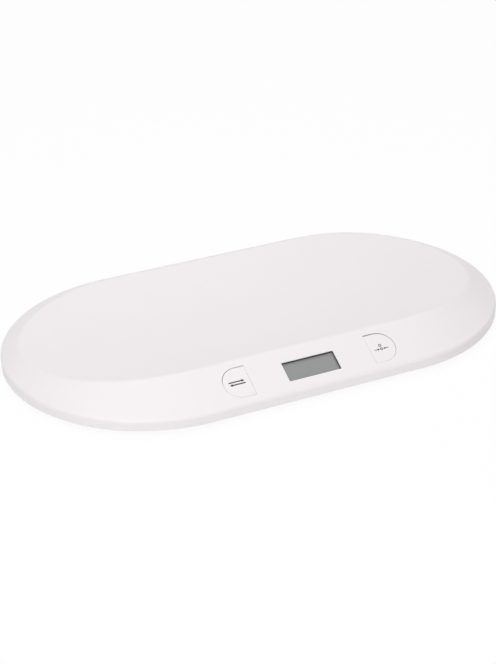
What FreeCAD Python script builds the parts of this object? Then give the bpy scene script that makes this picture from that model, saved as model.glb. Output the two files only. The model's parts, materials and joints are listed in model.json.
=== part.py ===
import FreeCAD, Part
import math
import os
import re
import Sketcher

# A digital baby weighing scale: a dished tray cover over a base pan that stands on four load cells.
# Millimetres and degrees. X runs along the tray, Y from the display side to the back, Z up.
# The origin is on the floor, under the middle of the tray.

SIZES = {
    # tray cover: a stadium with a short skirt, a bevel all round and a trough across its top
    "tray_length": 550,
    "tray_width": 317,
    "ground_gap": 6,
    "skirt_height": 11,
    "bevel_angle": 27,
    "dish_radius": 786,
    "dish_offset": 34,
    "dish_height": 20.8,
    "rim_round": 4,
    "crest_round": 6,
    "least_round": 0.4,
    "skirt_edge_round": 0.8,
    "cover_wall": 2.4,
    "rib_thickness": 1.6,
    "rib_depth": 4.5,
    "rib_reach": 205,
    "rib_spacing": 60,
    "rib_back": 78,
    "rib_middle": 6,
    # base pan, and the screws that hold the cover on it
    "seam_gap": 0.4,
    "base_floor": 2.5,
    "base_wall": 2,
    "base_height": 7,
    "base_edge": 0.6,
    "base_rib_height": 2,
    "screw_inset": 24,
    "screw_beside_key": 21.5,
    "screw_angle": 25,
    "screw_front_inset": 60.5,
    "seat_height": 4.5,
    "sleeve_radius": 5,
    "boss_radius": 3.6,
    "pilot_radius": 1.25,
    "pilot_depth": 9,
    "screw_radius": 1.45,
    "screw_hole_radius": 1.7,
    "screw_head_radius": 2.8,
    "screw_head_height": 1.9,
    "screw_length": 8,
    "head_clearance": 0.5,
    # shallow recess for a label on the bottom
    "label_middle": 42,
    "label_length": 96,
    "label_width": 52,
    "label_corner": 3,
    "label_depth": 0.4,
    # feet, load cells and the wells that hold them
    "foot_end_inset": 95,
    "foot_side_inset": 61,
    "foot_radius": 21,
    "foot_wall": 2,
    "foot_floor": 2,
    "foot_chamfer": 1,
    "foot_gap": 0.5,
    "foot_boss_radius": 3,
    "pad_radius": 17,
    "pad_thickness": 2.5,
    "pad_recess": 0.8,
    "pad_fit": 0.2,
    "pad_groove_radius": 11.5,
    "pad_groove_width": 1.5,
    "pad_groove_depth": 0.6,
    "pad_round": 0.6,
    "lug_width": 5,
    "lug_reach": 1.2,
    "lug_height": 1.2,
    "lug_fit": 0.3,
    "well_wall": 2,
    "well_roof": 2,
    "cell_clearance": 0.85,
    "cell_corner": 4,
    "cell_thickness": 2,
    "cell_level": 9,
    "cell_frame": 5,
    "cell_slot": 1.6,
    "tongue_width": 10,
    "channel_height": 2.2,
    "gauge_length": 8,
    "gauge_width": 7,
    "gauge_height": 1.1,
    "gauge_inset": 0.5,
    # display window, its foam frame, the glass and its holder
    "window_width": 57.7,
    "window_height": 22.8,
    "window_rise": 24.3,
    "window_corner": 0.8,
    "window_lip": 1.2,
    "gasket_border": 5.6,
    "gasket_thickness": 2,
    "gasket_fit": 0.4,
    "glass_border": 4.1,
    "glass_thickness": 1.1,
    "glass_ledge": 3,
    "holder_wall": 2.2,
    "holder_fit": 0.3,
    "holder_drop": 0.4,
    "shelf_width": 2.5,
    "connector_thickness": 2.2,
    "connector_fit": 0.3,
    # boards
    "board_depth": 9,
    "board_thickness": 1.6,
    "board_margin": 8.05,
    "board_rise": 26,
    "board_height": 41,
    "board_corner": 2,
    "board_screw_inset": 4,
    "board_boss_radius": 2.8,
    "board_hole_radius": 1.3,
    "board_pilot_radius": 0.9,
    "board_pilot_depth": 5,
    "board_screw_radius": 1.1,
    "board_screw_head": 2.1,
    "board_screw_height": 1.4,
    "board_screw_length": 4,
    "chip_seal_radius": 7,
    "chip_seal_height": 1.6,
    "chip_length": 10,
    "chip_width": 4,
    "chip_height": 1.5,
    "chip_inset": 19.5,
    "pin_width": 0.5,
    "pin_reach": 1,
    "pin_spacing": 1.27,
    # push buttons and their switches
    "button_flat": 67.2,
    "button_straight": 10.7,
    "button_height": 34.8,
    "button_rise": 26,
    "button_gap": 0.4,
    "opening_round": 0.3,
    "button_top": 1.8,
    "button_edge": 0.35,
    "button_travel": 0.5,
    # a key rests low in its opening and towards the display, within its play
    "unit_button_sag": 0.12,
    "power_button_sag": 0.25,
    "button_drift": 0.15,
    "flange_width": 1.4,
    "flange_height": 1.2,
    "flange_gap": 0.1,
    "collar_fit": 0.4,
    "collar_wall": 1.2,
    "collar_depth": 6,
    "stem_radius": 2.5,
    "switch_board_length": 51,
    "switch_board_height": 16,
    "switch_screw_reach": 21.5,
    "switch_size": 6,
    "switch_height": 3.4,
    "switch_corner": 0.6,
    "plunger_radius": 1.7,
    "plunger_fit": 0.08,
    "plunger_reach": 0.9,
    "plunger_hold": 0.7,
    # battery bay, its lid and what is in it
    "bay_middle": 52,
    "battery_radius": 5.25,
    "battery_length": 43.5,
    "nub_radius": 1.9,
    "nub_height": 1,
    "battery_gap": 0.8,
    "bay_wall": 2,
    "bay_clearance": 0.6,
    "spring_length": 4.5,
    "leaf_thickness": 0.4,
    "leaf_width": 7,
    "leaf_span": 8.5,
    "contact_thickness": 0.5,
    "contact_width": 9,
    "contact_height": 8,
    "lane_wall": 1,
    "lane_height": 4,
    "door_thickness": 2,
    "door_border": 4.5,
    "door_gap": 0.4,
    "door_seat_gap": 0.2,
    "door_corner": 2,
    "door_rib_height": 0.7,
    "door_rib_width": 1.2,
    "ledge_height": 5.8,
    "ledge_border": 3,
    "tongue_lip": 1.4,
    "tongue_clearance": 0.2,
    "tongue_thickness": 1,
    "tongue_length": 2.5,
    "tongue_tab_width": 6,
    "tongue_place": 10,
    "tongue_room": 1.4,
    "latch_width": 14,
    "latch_slot": 1,
    "latch_length": 12,
    "latch_wall": 1.2,
    "latch_height": 3.2,
    "latch_nose": 0.6,
    "finger_radius": 6,
    "finger_depth": 1.6,
    # wires inside
    "wire_radius": 0.8,
    "wire_bend": 4,
    "wire_clearance": 0.3,
}

# Heights and places that several pieces share, as expressions of the sizes above
RIM = "(ground_gap+skirt_height)"
END_CENTRE = "((tray_length-tray_width)/2)"
FLOOR_TOP = "(ground_gap+base_floor)"
BOSS_SEAT = "(ground_gap+seat_height)"
DISH_LOW = "(ground_gap+dish_height)"
FOOT_X = "(tray_length/2-foot_end_inset)"
FOOT_Y = "(tray_width/2-foot_side_inset)"
CELL_REACH = "(foot_radius-foot_wall-cell_clearance)"
CELL_SIZE = f"(2*(({CELL_REACH}-cell_corner)/sqrt(2)+cell_corner))"
CELL_INSIDE = f"({CELL_SIZE}/2-cell_frame)"
WELL_RADIUS = "(foot_radius+foot_gap)"
CELL_TOP = "(cell_level+cell_thickness)"
GLASS_DEPTH = "(window_lip+gasket_thickness)"
BOARD_WIDTH = "(window_width+2*(glass_border+holder_fit+holder_wall+board_margin))"
CHIP_X = f"({BOARD_WIDTH}/2-chip_inset)"
BUTTON_MIDDLE = "(button_flat+button_straight/2+button_height/4)"
SWITCH_BOARD_END = f"({BUTTON_MIDDLE}+switch_board_length/2)"
FLANGE_DEPTH = "(cover_wall+flange_gap)"
STEM_END = "(board_depth-switch_height-plunger_reach)"
BAY_LENGTH = "(battery_length+nub_height+spring_length+2*contact_thickness)"
BATTERY_PITCH = "(2*battery_radius+battery_gap)"
BAY_WIDTH = f"(3*{BATTERY_PITCH}+bay_clearance)"
BATTERY_Z = "(ground_gap+door_thickness+door_rib_height+wire_clearance+battery_radius)"
BAY_ROOF = f"({BATTERY_Z}+battery_radius+bay_clearance)"
DOOR_LENGTH = f"({BAY_LENGTH}+2*door_border)"
DOOR_WIDTH = f"({BAY_WIDTH}+2*door_border)"
LEAD_LINE = f"({FOOT_X}-{WELL_RADIUS}-well_wall-6*wire_bend)"
TERMINAL_Z = f"({BATTERY_Z}+contact_height/4)"
CORNERS = {
    "front_left": (-1, -1),
    "front_right": (1, -1),
    "back_left": (-1, 1),
    "back_right": (1, 1),
}
# how near a plane an edge lies that is taken to be on it
ON_PLANE = 1e-4
CENTRE_X = FreeCAD.Vector(1, 0, 0)
CENTRE_Z = FreeCAD.Vector(0, 0, 1)

doc = FreeCAD.newDocument("baby_scale")
sheet = doc.addObject("Spreadsheet::Sheet", "Sizes")
for row, (size_name, size) in enumerate(SIZES.items(), start=1):
    sheet.set(f"A{row}", size_name)
    sheet.set(f"B{row}", str(size))
    sheet.setAlias(f"B{row}", size_name)
doc.recompute()
SIZE_WORD = re.compile(r"\b(" + "|".join(sorted(SIZES, key=len, reverse=True)) + r")\b")
nodes = []


def bound(text):
    """An expression on the sheet's cells, from one written with their bare names."""
    return SIZE_WORD.sub(r"Sizes.\1", str(text))


def value(text):
    """The number that an expression has now."""
    return float(sheet.evalExpression(bound(text)))


def tie(thing, **expressions):
    """Bind properties of an object to expressions; __ in a name stands for a dot."""
    for name, text in expressions.items():
        thing.setExpression(name.replace("__", "."), bound(text))


def new_body(name, is_node=True):
    body = doc.addObject("PartDesign::Body", name)
    body.Label = name
    body.AllowCompound = True
    if is_node:
        nodes.append(body)
    return body


def place(body, x="0", y="0", z="0", turn=0):
    """Put a body at a point, turned about Z."""
    body.Placement = FreeCAD.Placement(FreeCAD.Vector(), FreeCAD.Rotation(CENTRE_Z, turn))
    tie(body, Placement__Base__x=x, Placement__Base__y=y, Placement__Base__z=z)


def place_on_bevel(body, along="0", down="0"):
    """Stand a body on the front bevel: X along it, Y up its slope from the rim, Z out of it."""
    body.Placement = FreeCAD.Placement(FreeCAD.Vector(), FreeCAD.Rotation(CENTRE_X, 1))
    tie(body, Placement__Rotation__Angle="bevel_angle")
    tie(body, Placement__Base__x=along,
        Placement__Base__y=f"-tray_width/2-{down}*cos(bevel_angle)",
        Placement__Base__z=f"{RIM}-{down}*sin(bevel_angle)")


def sketch(body, name, level="0", role="XY_Plane"):
    """A sketch on one of the body's own planes, moved along its normal."""
    plane = next(item for item in body.Origin.OriginFeatures if item.Role == role)
    drawing = body.newObject("Sketcher::SketchObject", name)
    drawing.AttachmentSupport = [(plane, "")]
    drawing.MapMode = "FlatFace"
    tie(drawing, AttachmentOffset__Base__z=level)
    return drawing


def bevel_sketch(body, name, depth="0"):
    """A sketch parallel to the front bevel, at a depth below its surface."""
    drawing = sketch(body, name)
    drawing.AttachmentOffset = FreeCAD.Placement(FreeCAD.Vector(), FreeCAD.Rotation(CENTRE_X, 1))
    tie(drawing, AttachmentOffset__Rotation__Angle="bevel_angle")
    tie(drawing, AttachmentOffset__Base__y=f"({depth})*sin(bevel_angle)-tray_width/2")
    tie(drawing, AttachmentOffset__Base__z=f"{RIM}-({depth})*cos(bevel_angle)")
    return drawing


def pin_to_origin(drawing, kind, geometry, point, text):
    index = drawing.addConstraint(Sketcher.Constraint(kind, -1, 1, geometry, point, value(text)))
    drawing.setExpression(f"Constraints[{index}]", bound(text))


def set_radius(drawing, geometry, text):
    index = drawing.addConstraint(Sketcher.Constraint("Radius", geometry, value(text)))
    drawing.setExpression(f"Constraints[{index}]", bound(text))


def arc_between(start, end, radius, anticlockwise):
    """The arc of less than half a turn from start to end."""
    chord = math.dist(start, end)
    sagitta_arm = math.sqrt(max(radius ** 2 - chord ** 2 / 4, 0))
    side = 1 if anticlockwise else -1
    across = ((start[1] - end[1]) / chord * side, (end[0] - start[0]) / chord * side)
    centre = [(start[axis] + end[axis]) / 2 + across[axis] * sagitta_arm for axis in (0, 1)]
    angles = [math.atan2(point[1] - centre[1], point[0] - centre[0]) for point in (start, end)]
    circle = Part.Circle(FreeCAD.Vector(*centre, 0), CENTRE_Z, radius)
    return Part.ArcOfCircle(circle, *(angles if anticlockwise else reversed(angles)))


def outline(drawing, points, arcs=None):
    """A closed outline. arcs gives the radius of the side that starts at a point, or minus it
    where the side turns clockwise."""
    arcs = arcs or {}
    corners = [(value(x), value(y)) for x, y in points]
    sides = []
    for index, start in enumerate(corners):
        end = corners[(index + 1) % len(corners)]
        if index in arcs:
            anticlockwise = not arcs[index].startswith("-")
            side = arc_between(start, end, abs(value(arcs[index])), anticlockwise)
            ends = (1, 2) if anticlockwise else (2, 1)
        else:
            side = Part.LineSegment(FreeCAD.Vector(*start, 0), FreeCAD.Vector(*end, 0))
            ends = (1, 2)
        sides.append((drawing.addGeometry(side, False), ends))
    for index, (geometry, (first, last)) in enumerate(sides):
        following, (first_of_next, _) = sides[(index + 1) % len(sides)]
        joint = Sketcher.Constraint("Coincident", geometry, last, following, first_of_next)
        drawing.addConstraint(joint)
        pin_to_origin(drawing, "DistanceX", geometry, first, points[index][0])
        pin_to_origin(drawing, "DistanceY", geometry, first, points[index][1])
        if index in arcs:
            set_radius(drawing, geometry, arcs[index].lstrip("-"))


def disc(drawing, x, y, radius):
    circle = Part.Circle(FreeCAD.Vector(value(x), value(y), 0), CENTRE_Z, value(radius))
    geometry = drawing.addGeometry(circle, False)
    pin_to_origin(drawing, "DistanceX", geometry, 3, x)
    pin_to_origin(drawing, "DistanceY", geometry, 3, y)
    set_radius(drawing, geometry, radius)


def rectangle(drawing, left, low, right, high, corner=None):
    if corner is None:
        outline(drawing, [(left, low), (right, low), (right, high), (left, high)])
        return
    x_in = (f"({left}+{corner})", f"({right}-{corner})")
    y_in = (f"({low}+{corner})", f"({high}-{corner})")
    points = [
        (x_in[0], low), (x_in[1], low),
        (right, y_in[0]), (right, y_in[1]),
        (x_in[1], high), (x_in[0], high),
        (left, y_in[1]), (left, y_in[0]),
    ]
    outline(drawing, points, {side: f"({corner})" for side in (1, 3, 5, 7)})


def centred(drawing, x, y, width, height, corner=None):
    """A rectangle about its middle."""
    rectangle(drawing, f"({x}-({width})/2)", f"({y}-({height})/2)",
              f"({x}+({width})/2)", f"({y}+({height})/2)", corner)


def stadium(drawing, inset):
    """The tray's outline, moved inwards."""
    radius = f"(tray_width/2-({inset}))"
    points = [
        (f"-{END_CENTRE}", f"-{radius}"),
        (END_CENTRE, f"-{radius}"),
        (f"({END_CENTRE}+{radius})", "0"),
        (END_CENTRE, radius),
        (f"-{END_CENTRE}", radius),
        (f"(-{END_CENTRE}-{radius})", "0"),
    ]
    outline(drawing, points, {side: radius for side in (1, 2, 4, 5)})


def dee(drawing, side, grow):
    """A key's outline on the bevel: flat towards the display, round away from it."""
    radius = f"(button_height/2+{grow})"
    flat = f"({side}*(button_flat-({grow})))"
    bend = f"({side}*(button_flat+button_straight))"
    tip = f"({side}*(button_flat+button_straight+{radius}))"
    low = f"(button_rise-{radius})"
    high = f"(button_rise+{radius})"
    points = [(flat, low), (bend, low), (tip, "button_rise"), (bend, high), (flat, high)]
    arc = radius if side > 0 else f"-{radius}"
    outline(drawing, points, {1: arc, 2: arc})


def pad(body, name, profile, length, reverse=False):
    feature = body.newObject("PartDesign::Pad", name)
    feature.Profile = profile
    feature.Reversed = reverse
    tie(feature, Length=length)
    doc.recompute()
    return feature


def pocket(body, name, profile, depth=None, reverse=False, symmetric=False):
    """Cut a profile out of the body, through all of it where no depth is given."""
    before = body.Shape.Volume
    feature = body.newObject("PartDesign::Pocket", name)
    feature.Profile = profile
    feature.Reversed = reverse
    if symmetric:
        feature.SideType = "Symmetric"
    if depth is None:
        feature.Type = "ThroughAll"
    else:
        tie(feature, Length=depth)
    doc.recompute()
    if not body.Shape.Volume < before:
        raise RuntimeError(f"{body.Label}: {name} cuts nothing")
    return feature


def turned(body, name, profile):
    """A solid of revolution about the profile's own vertical axis."""
    feature = body.newObject("PartDesign::Revolution", name)
    feature.Profile = profile
    feature.ReferenceAxis = (profile, ["V_Axis"])
    feature.Angle = 360
    doc.recompute()
    return feature


def dress(body, kind, name, radius, picks):
    """A fillet or chamfer on the edges of the body that pass a test."""
    base = body.Tip
    edges = [f"Edge{number}" for number, edge in enumerate(base.Shape.Edges, start=1) if picks(edge)]
    if not edges:
        raise RuntimeError(f"{body.Label}: {name} finds no edge")
    feature = body.newObject(f"PartDesign::{kind}", name)
    feature.Base = (base, edges)
    tie(feature, **{"Radius" if kind == "Fillet" else "Size": radius})
    doc.recompute()
    return feature


def level_edge(text):
    """A test for edges that lie at one height in the body's own frame."""
    height = value(text)

    def at_level(edge):
        box = edge.BoundBox
        return abs(box.ZMin - height) < ON_PLANE and abs(box.ZMax - height) < ON_PLANE
    return at_level


def opening_edge(edge):
    """A test for the edges of the openings in the flat of the front bevel."""
    tilt = math.radians(value("bevel_angle"))
    front, low, reach = value("-tray_width/2"), value(RIM), value(END_CENTRE)

    def on_face(vertex):
        off = (vertex.Z - low) * math.cos(tilt) - (vertex.Y - front) * math.sin(tilt)
        return abs(off) < ON_PLANE and abs(vertex.X) < reach - ON_PLANE
    return all(on_face(vertex) for vertex in edge.Vertexes)


def tray_form(body, inset):
    """The tray as a solid block, with every face moved inwards by the inset."""
    rim = f"({RIM}-({inset})*(1/cos(bevel_angle)-tan(bevel_angle)))"
    bottom = f"(ground_gap-({inset}))"
    run = "(tray_width/3)"
    rise = f"({run}*tan(bevel_angle))"
    plan = sketch(body, "plan", bottom)
    stadium(plan, inset)
    pad(body, "block", plan, f"{rim}-{bottom}+{rise}")
    top = level_edge(f"{rim}+{rise}")
    bevel = dress(body, "Chamfer", "bevel", rise, top)
    bevel.ChamferType = "Two distances"
    tie(bevel, Size2=run)
    doc.recompute()
    radius = f"(dish_radius+{inset})"
    centre = f"({DISH_LOW}+dish_radius)"
    trough = sketch(body, "trough", "0", "YZ_Plane")
    disc(trough, "dish_offset", centre, radius)
    pocket(body, "dish", trough, symmetric=True)
    axis = (value("dish_offset"), value(centre))
    reach = value(radius)

    def on_dish(edge):
        middle = edge.valueAt((edge.FirstParameter + edge.LastParameter) / 2)
        points = [vertex.Point for vertex in edge.Vertexes] + [middle]
        return all(abs(math.dist((point.y, point.z), axis) - reach) < 1e-3 for point in points)

    dress(body, "Fillet", "crest", f"max(crest_round-({inset}); least_round)", on_dish)
    dress(body, "Fillet", "rim", f"max(rim_round-({inset}); least_round)", level_edge(rim))


def screw_places():
    """Where the screws stand that hold the cover on the base, as pairs of expressions."""
    ring = "(tray_width/2-screw_inset)"
    past_key = f"({SWITCH_BOARD_END}+screw_beside_key)"
    along_ring = f"sqrt({ring}^2-({past_key}-{END_CENTRE})^2)"
    places = []
    for side in (-1, 1):
        for end in (-1, 1):
            places.append((f"({side}*{past_key})", f"({end}*{along_ring})"))
            x = f"({side}*({END_CENTRE}+{ring}*cos(screw_angle)))"
            places.append((x, f"({end}*{ring}*sin(screw_angle))"))
    places.append(("0", ring))
    places.append(("0", "(screw_front_inset-tray_width/2)"))
    return places


def board_screw_places():
    """The four screws of the display board, on the bevel."""
    across = f"({BOARD_WIDTH}/2-board_screw_inset)"
    along = "(board_height/2-board_screw_inset)"
    return [(f"({x}*{across})", f"(board_rise+{y}*{along})") for x in (-1, 1) for y in (-1, 1)]


def switch_screw_places(side):
    """The two screws of one switch board, on the bevel."""
    return [(f"({side}*({BUTTON_MIDDLE}+{end}*switch_screw_reach))", "button_rise") for end in (-1, 1)]


def all_board_screw_places():
    return board_screw_places() + switch_screw_places(-1) + switch_screw_places(1)


def discs(drawing, places, radius):
    for x, y in places:
        disc(drawing, x, y, radius)


def make_cover_core():
    """The hollow of the cover, with gaps where its ribs and screw bosses stand."""
    core = new_body("cover_core", is_node=False)
    tray_form(core, "cover_wall")
    bosses = sketch(core, "boss_plan", BOSS_SEAT)
    discs(bosses, screw_places(), "boss_radius")
    pocket(core, "boss_gaps", bosses, reverse=True)
    rib_level = f"({DISH_LOW}-cover_wall-rib_depth)"
    long_ribs = sketch(core, "long_rib_plan", rib_level)
    for line in ("rib_middle", "rib_back"):
        centred(long_ribs, "0", line, "2*rib_reach", "rib_thickness")
    pocket(core, "long_rib_gaps", long_ribs, reverse=True)
    cross_ribs = sketch(core, "cross_rib_plan", rib_level)
    for count in (1, 2, 3):
        for side in (-1, 1):
            middle = f"({side}*{count}*rib_spacing)"
            rectangle(cross_ribs, f"({middle}-rib_thickness/2)", "(-rib_back)",
                      f"({middle}+rib_thickness/2)", "(rib_back+rib_middle)")
    pocket(core, "cross_rib_gaps", cross_ribs, reverse=True)
    return core


def make_top_cover():
    """Tray shell: the outer form less its core, then the window, the keyholes and the mounts."""
    cover = new_body("top_cover")
    tray_form(cover, "0")
    dress(cover, "Fillet", "skirt_edge", "skirt_edge_round", level_edge("ground_gap"))
    core = make_cover_core()
    hollow = cover.newObject("PartDesign::Boolean", "hollow")
    hollow.Type = "Cut"
    hollow.setObjects([core])
    doc.recompute()
    collars = bevel_sketch(cover, "collar_plan", "cover_wall/2")
    posts = bevel_sketch(cover, "board_boss_plan", "cover_wall/2")
    for side in (-1, 1):
        inner = "(button_gap+flange_width+collar_fit)"
        dee(collars, side, inner)
        dee(collars, side, f"({inner}+collar_wall)")
    pad(cover, "collars", collars, "collar_depth-cover_wall/2", reverse=True)
    discs(posts, all_board_screw_places(), "board_boss_radius")
    pad(cover, "board_bosses", posts, "board_depth-cover_wall/2", reverse=True)
    window = bevel_sketch(cover, "window_plan", "(-cover_wall)")
    centred(window, "0", "window_rise", "window_width", "window_height", "window_corner")
    pocket(cover, "window", window, "2*cover_wall+window_lip")
    seat = bevel_sketch(cover, "gasket_seat_plan", "window_lip")
    border = "2*(gasket_border+gasket_fit)"
    centred(seat, "0", "window_rise", f"(window_width+{border})", f"(window_height+{border})")
    pocket(cover, "gasket_seat", seat, "cover_wall")
    keyholes = bevel_sketch(cover, "keyhole_plan", "(-cover_wall)")
    for side in (-1, 1):
        dee(keyholes, side, "button_gap")
    pocket(cover, "keyholes", keyholes, "2*cover_wall+window_lip")
    dress(cover, "Fillet", "opening_edges", "opening_round", opening_edge)
    pilots = sketch(cover, "pilot_plan", BOSS_SEAT)
    discs(pilots, screw_places(), "pilot_radius")
    pocket(cover, "pilots", pilots, "pilot_depth", reverse=True)
    board_pilots = bevel_sketch(cover, "board_pilot_plan", "board_depth")
    discs(board_pilots, all_board_screw_places(), "board_pilot_radius")
    pocket(cover, "board_pilots", board_pilots, "board_pilot_depth", reverse=True)


def bay_rectangle(drawing, grow, corner=None):
    """A rectangle about the battery bay, larger than its inside all round."""
    centred(drawing, "0", "(-bay_middle)", f"({BAY_LENGTH}+2*({grow}))", f"({BAY_WIDTH}+2*({grow}))",
            corner)


def make_base_cover():
    """Base pan with its wells, screw sleeves and battery bay."""
    base = new_body("base_cover")
    inset = "(cover_wall+seam_gap)"
    plan = sketch(base, "plan", "ground_gap")
    stadium(plan, inset)
    pad(base, "block", plan, "base_height")
    dress(base, "Chamfer", "lower_edge", "base_edge", level_edge("ground_gap"))
    inside = sketch(base, "inside_plan", FLOOR_TOP)
    stadium(inside, f"({inset}+base_wall)")
    pocket(base, "inside", inside, reverse=True)
    ribs = sketch(base, "rib_plan", "ground_gap")
    for line in ("rib_middle", "rib_back"):
        centred(ribs, "0", line, f"2*({LEAD_LINE}-4*wire_radius)", "rib_thickness")
    pad(base, "floor_ribs", ribs, "base_floor+base_rib_height")
    sleeves = sketch(base, "sleeve_plan", "ground_gap")
    discs(sleeves, screw_places(), "sleeve_radius")
    pad(base, "sleeves", sleeves, "seat_height")
    wells = [(f"({x}*{FOOT_X})", f"({y}*{FOOT_Y})") for x, y in CORNERS.values()]
    towers = sketch(base, "tower_plan", "ground_gap")
    discs(towers, wells, f"({WELL_RADIUS}+well_wall)")
    pad(base, "towers", towers, f"{CELL_TOP}+channel_height+well_roof-ground_gap")
    ledge = sketch(base, "ledge_plan", "ground_gap")
    bay_rectangle(ledge, "door_border+door_gap+ledge_border")
    pad(base, "ledge", ledge, "ledge_height")
    box = sketch(base, "box_plan", "ground_gap")
    bay_rectangle(box, "bay_wall")
    pad(base, "box", box, f"{BAY_ROOF}+bay_wall-ground_gap")

    mouths = sketch(base, "well_plan", "ground_gap")
    discs(mouths, wells, WELL_RADIUS)
    pocket(base, "wells", mouths, f"{CELL_TOP}-ground_gap", reverse=True)
    channels = sketch(base, "channel_plan", CELL_TOP)
    windows = sketch(base, "lug_window_plan", "cell_level-lug_fit")
    for (x, y), (side, end) in zip(wells, CORNERS.values()):
        outer = f"({x}+{side}*{CELL_INSIDE})"
        inner = f"({x}-{side}*({WELL_RADIUS}+2*well_wall))"
        left, right = (inner, outer) if side > 0 else (outer, inner)
        rectangle(channels, left, f"({y}-{CELL_INSIDE})", right, f"({y}+{CELL_INSIDE})")
        middle = f"({y}+{end}*({WELL_RADIUS}+well_wall/2))"
        centred(windows, x, middle, "lug_width+2*lug_fit", "2*well_wall")
    pocket(base, "channels", channels, "channel_height", reverse=True)
    pocket(base, "lug_windows", windows, "lug_height+2*lug_fit", reverse=True)
    heads = sketch(base, "counterbore_plan", "ground_gap")
    discs(heads, screw_places(), "screw_head_radius+head_clearance")
    pocket(base, "counterbores", heads, "screw_head_height+head_clearance", reverse=True)
    holes = sketch(base, "screw_hole_plan", "ground_gap")
    discs(holes, screw_places(), "screw_hole_radius")
    pocket(base, "screw_holes", holes, reverse=True)

    bay = sketch(base, "bay_plan", "ground_gap")
    bay_rectangle(bay, "0")
    pocket(base, "bay", bay, f"{BAY_ROOF}-lane_height-ground_gap", reverse=True)
    lanes = sketch(base, "lane_plan", f"{BAY_ROOF}-lane_height")
    for lane in (-1, 0, 1):
        centred(lanes, "0", f"({lane}*{BATTERY_PITCH}-bay_middle)", BAY_LENGTH,
                 f"{BATTERY_PITCH}-lane_wall")
    pocket(base, "lanes", lanes, "lane_height", reverse=True)
    gaps = sketch(base, "contact_gap_plan", f"{BAY_ROOF}-lane_height")
    for end in (-1, 1):
        centred(gaps, f"({end}*({BAY_LENGTH}-spring_length)/2)", "(-bay_middle)", "spring_length",
                BAY_WIDTH)
    pocket(base, "contact_gaps", gaps, "lane_height", reverse=True)
    recess = sketch(base, "door_recess_plan", "ground_gap")
    bay_rectangle(recess, "door_border+door_gap", "door_corner")
    pocket(base, "door_recess", recess, "door_thickness+door_seat_gap", reverse=True)
    slots = sketch(base, "tongue_slot_plan", "ground_gap+tongue_lip")
    hinge_edge = f"(-{DOOR_LENGTH}/2-door_gap)"
    for end in (-1, 1):
        middle = f"({end}*tongue_place-bay_middle)"
        half_slot = "(tongue_tab_width/2+door_gap)"
        rectangle(slots, f"({hinge_edge}-tongue_length-tongue_clearance)", f"({middle}-{half_slot})",
                  f"(-{BAY_LENGTH}/2+tongue_clearance)", f"({middle}+{half_slot})")
    pocket(base, "tongue_slots", slots, "tongue_clearance+tongue_thickness+tongue_room", reverse=True)
    latch = sketch(base, "latch_window_plan", "ground_gap")
    centred(latch, f"(({BAY_LENGTH}+{DOOR_LENGTH})/4)", "(-bay_middle)",
            "door_border+2*tongue_clearance", "latch_width+2*latch_slot")
    pocket(base, "latch_window", latch, "door_thickness+latch_height", reverse=True)
    for end in (-1, 1):
        name = "right" if end > 0 else "left"
        hole = sketch(base, f"{name}_lead_hole_plan", f"{end}*{BAY_LENGTH}/2", "YZ_Plane")
        disc(hole, f"(-{end}*{BATTERY_PITCH}-bay_middle)", TERMINAL_Z, "wire_radius+wire_clearance/2")
        pocket(base, f"{name}_lead_hole", hole, "bay_wall", reverse=end > 0)
    label = sketch(base, "label_plan", "ground_gap")
    centred(label, "0", "label_middle", "label_length", "label_width", "label_corner")
    pocket(base, "label_recess", label, "label_depth", reverse=True)
    finger = sketch(base, "finger_plan", "ground_gap")
    disc(finger, f"({DOOR_LENGTH}/2)", "(-bay_middle)", "finger_radius")
    pocket(base, "finger_notch", finger, "finger_depth", reverse=True)


def make_foot(name, side, end):
    """A cup that carries the rubber pad below and presses on the load cell's tongue."""
    foot = new_body(f"foot_{name}")
    place(foot, f"{side}*{FOOT_X}", f"{end}*{FOOT_Y}")
    low = "(pad_thickness-pad_recess)"
    inside = "(foot_radius-foot_wall)"
    cup_floor = "(pad_thickness+foot_floor)"
    recess = "(pad_radius+pad_fit)"
    rim = f"({CELL_TOP}-foot_gap)"
    profile = sketch(foot, "profile", "0", "XZ_Plane")
    outline(profile, [
        ("0", "pad_thickness"), (recess, "pad_thickness"), (recess, low),
        ("(foot_radius-foot_chamfer)", low), ("foot_radius", f"({low}+foot_chamfer)"),
        ("foot_radius", rim), (inside, rim), (inside, cup_floor),
        ("foot_boss_radius", cup_floor), ("foot_boss_radius", "cell_level"), ("0", "cell_level"),
    ])
    turned(foot, "cup", profile)
    lug = sketch(foot, "lug_plan", "cell_level")
    centred(lug, "0", f"({end}*(foot_radius+(lug_reach-foot_wall/2)/2))", "lug_width",
            "lug_reach+foot_wall/2")
    pad(foot, "lug", lug, "lug_height")


def make_foot_pad(name, side, end):
    """Rubber disc with one ring groove in its sole."""
    rubber = new_body(f"foot_pad_{name}")
    place(rubber, f"{side}*{FOOT_X}", f"{end}*{FOOT_Y}")
    groove = "(pad_groove_radius+pad_groove_width)"
    profile = sketch(rubber, "profile", "0", "XZ_Plane")
    outline(profile, [
        ("0", "0"), ("pad_groove_radius", "0"), ("pad_groove_radius", "pad_groove_depth"),
        (groove, "pad_groove_depth"), (groove, "0"), ("(pad_radius-pad_round)", "0"),
        ("pad_radius", "pad_round"), ("pad_radius", "pad_thickness"), ("0", "pad_thickness"),
    ])
    turned(rubber, "disc", profile)


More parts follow.
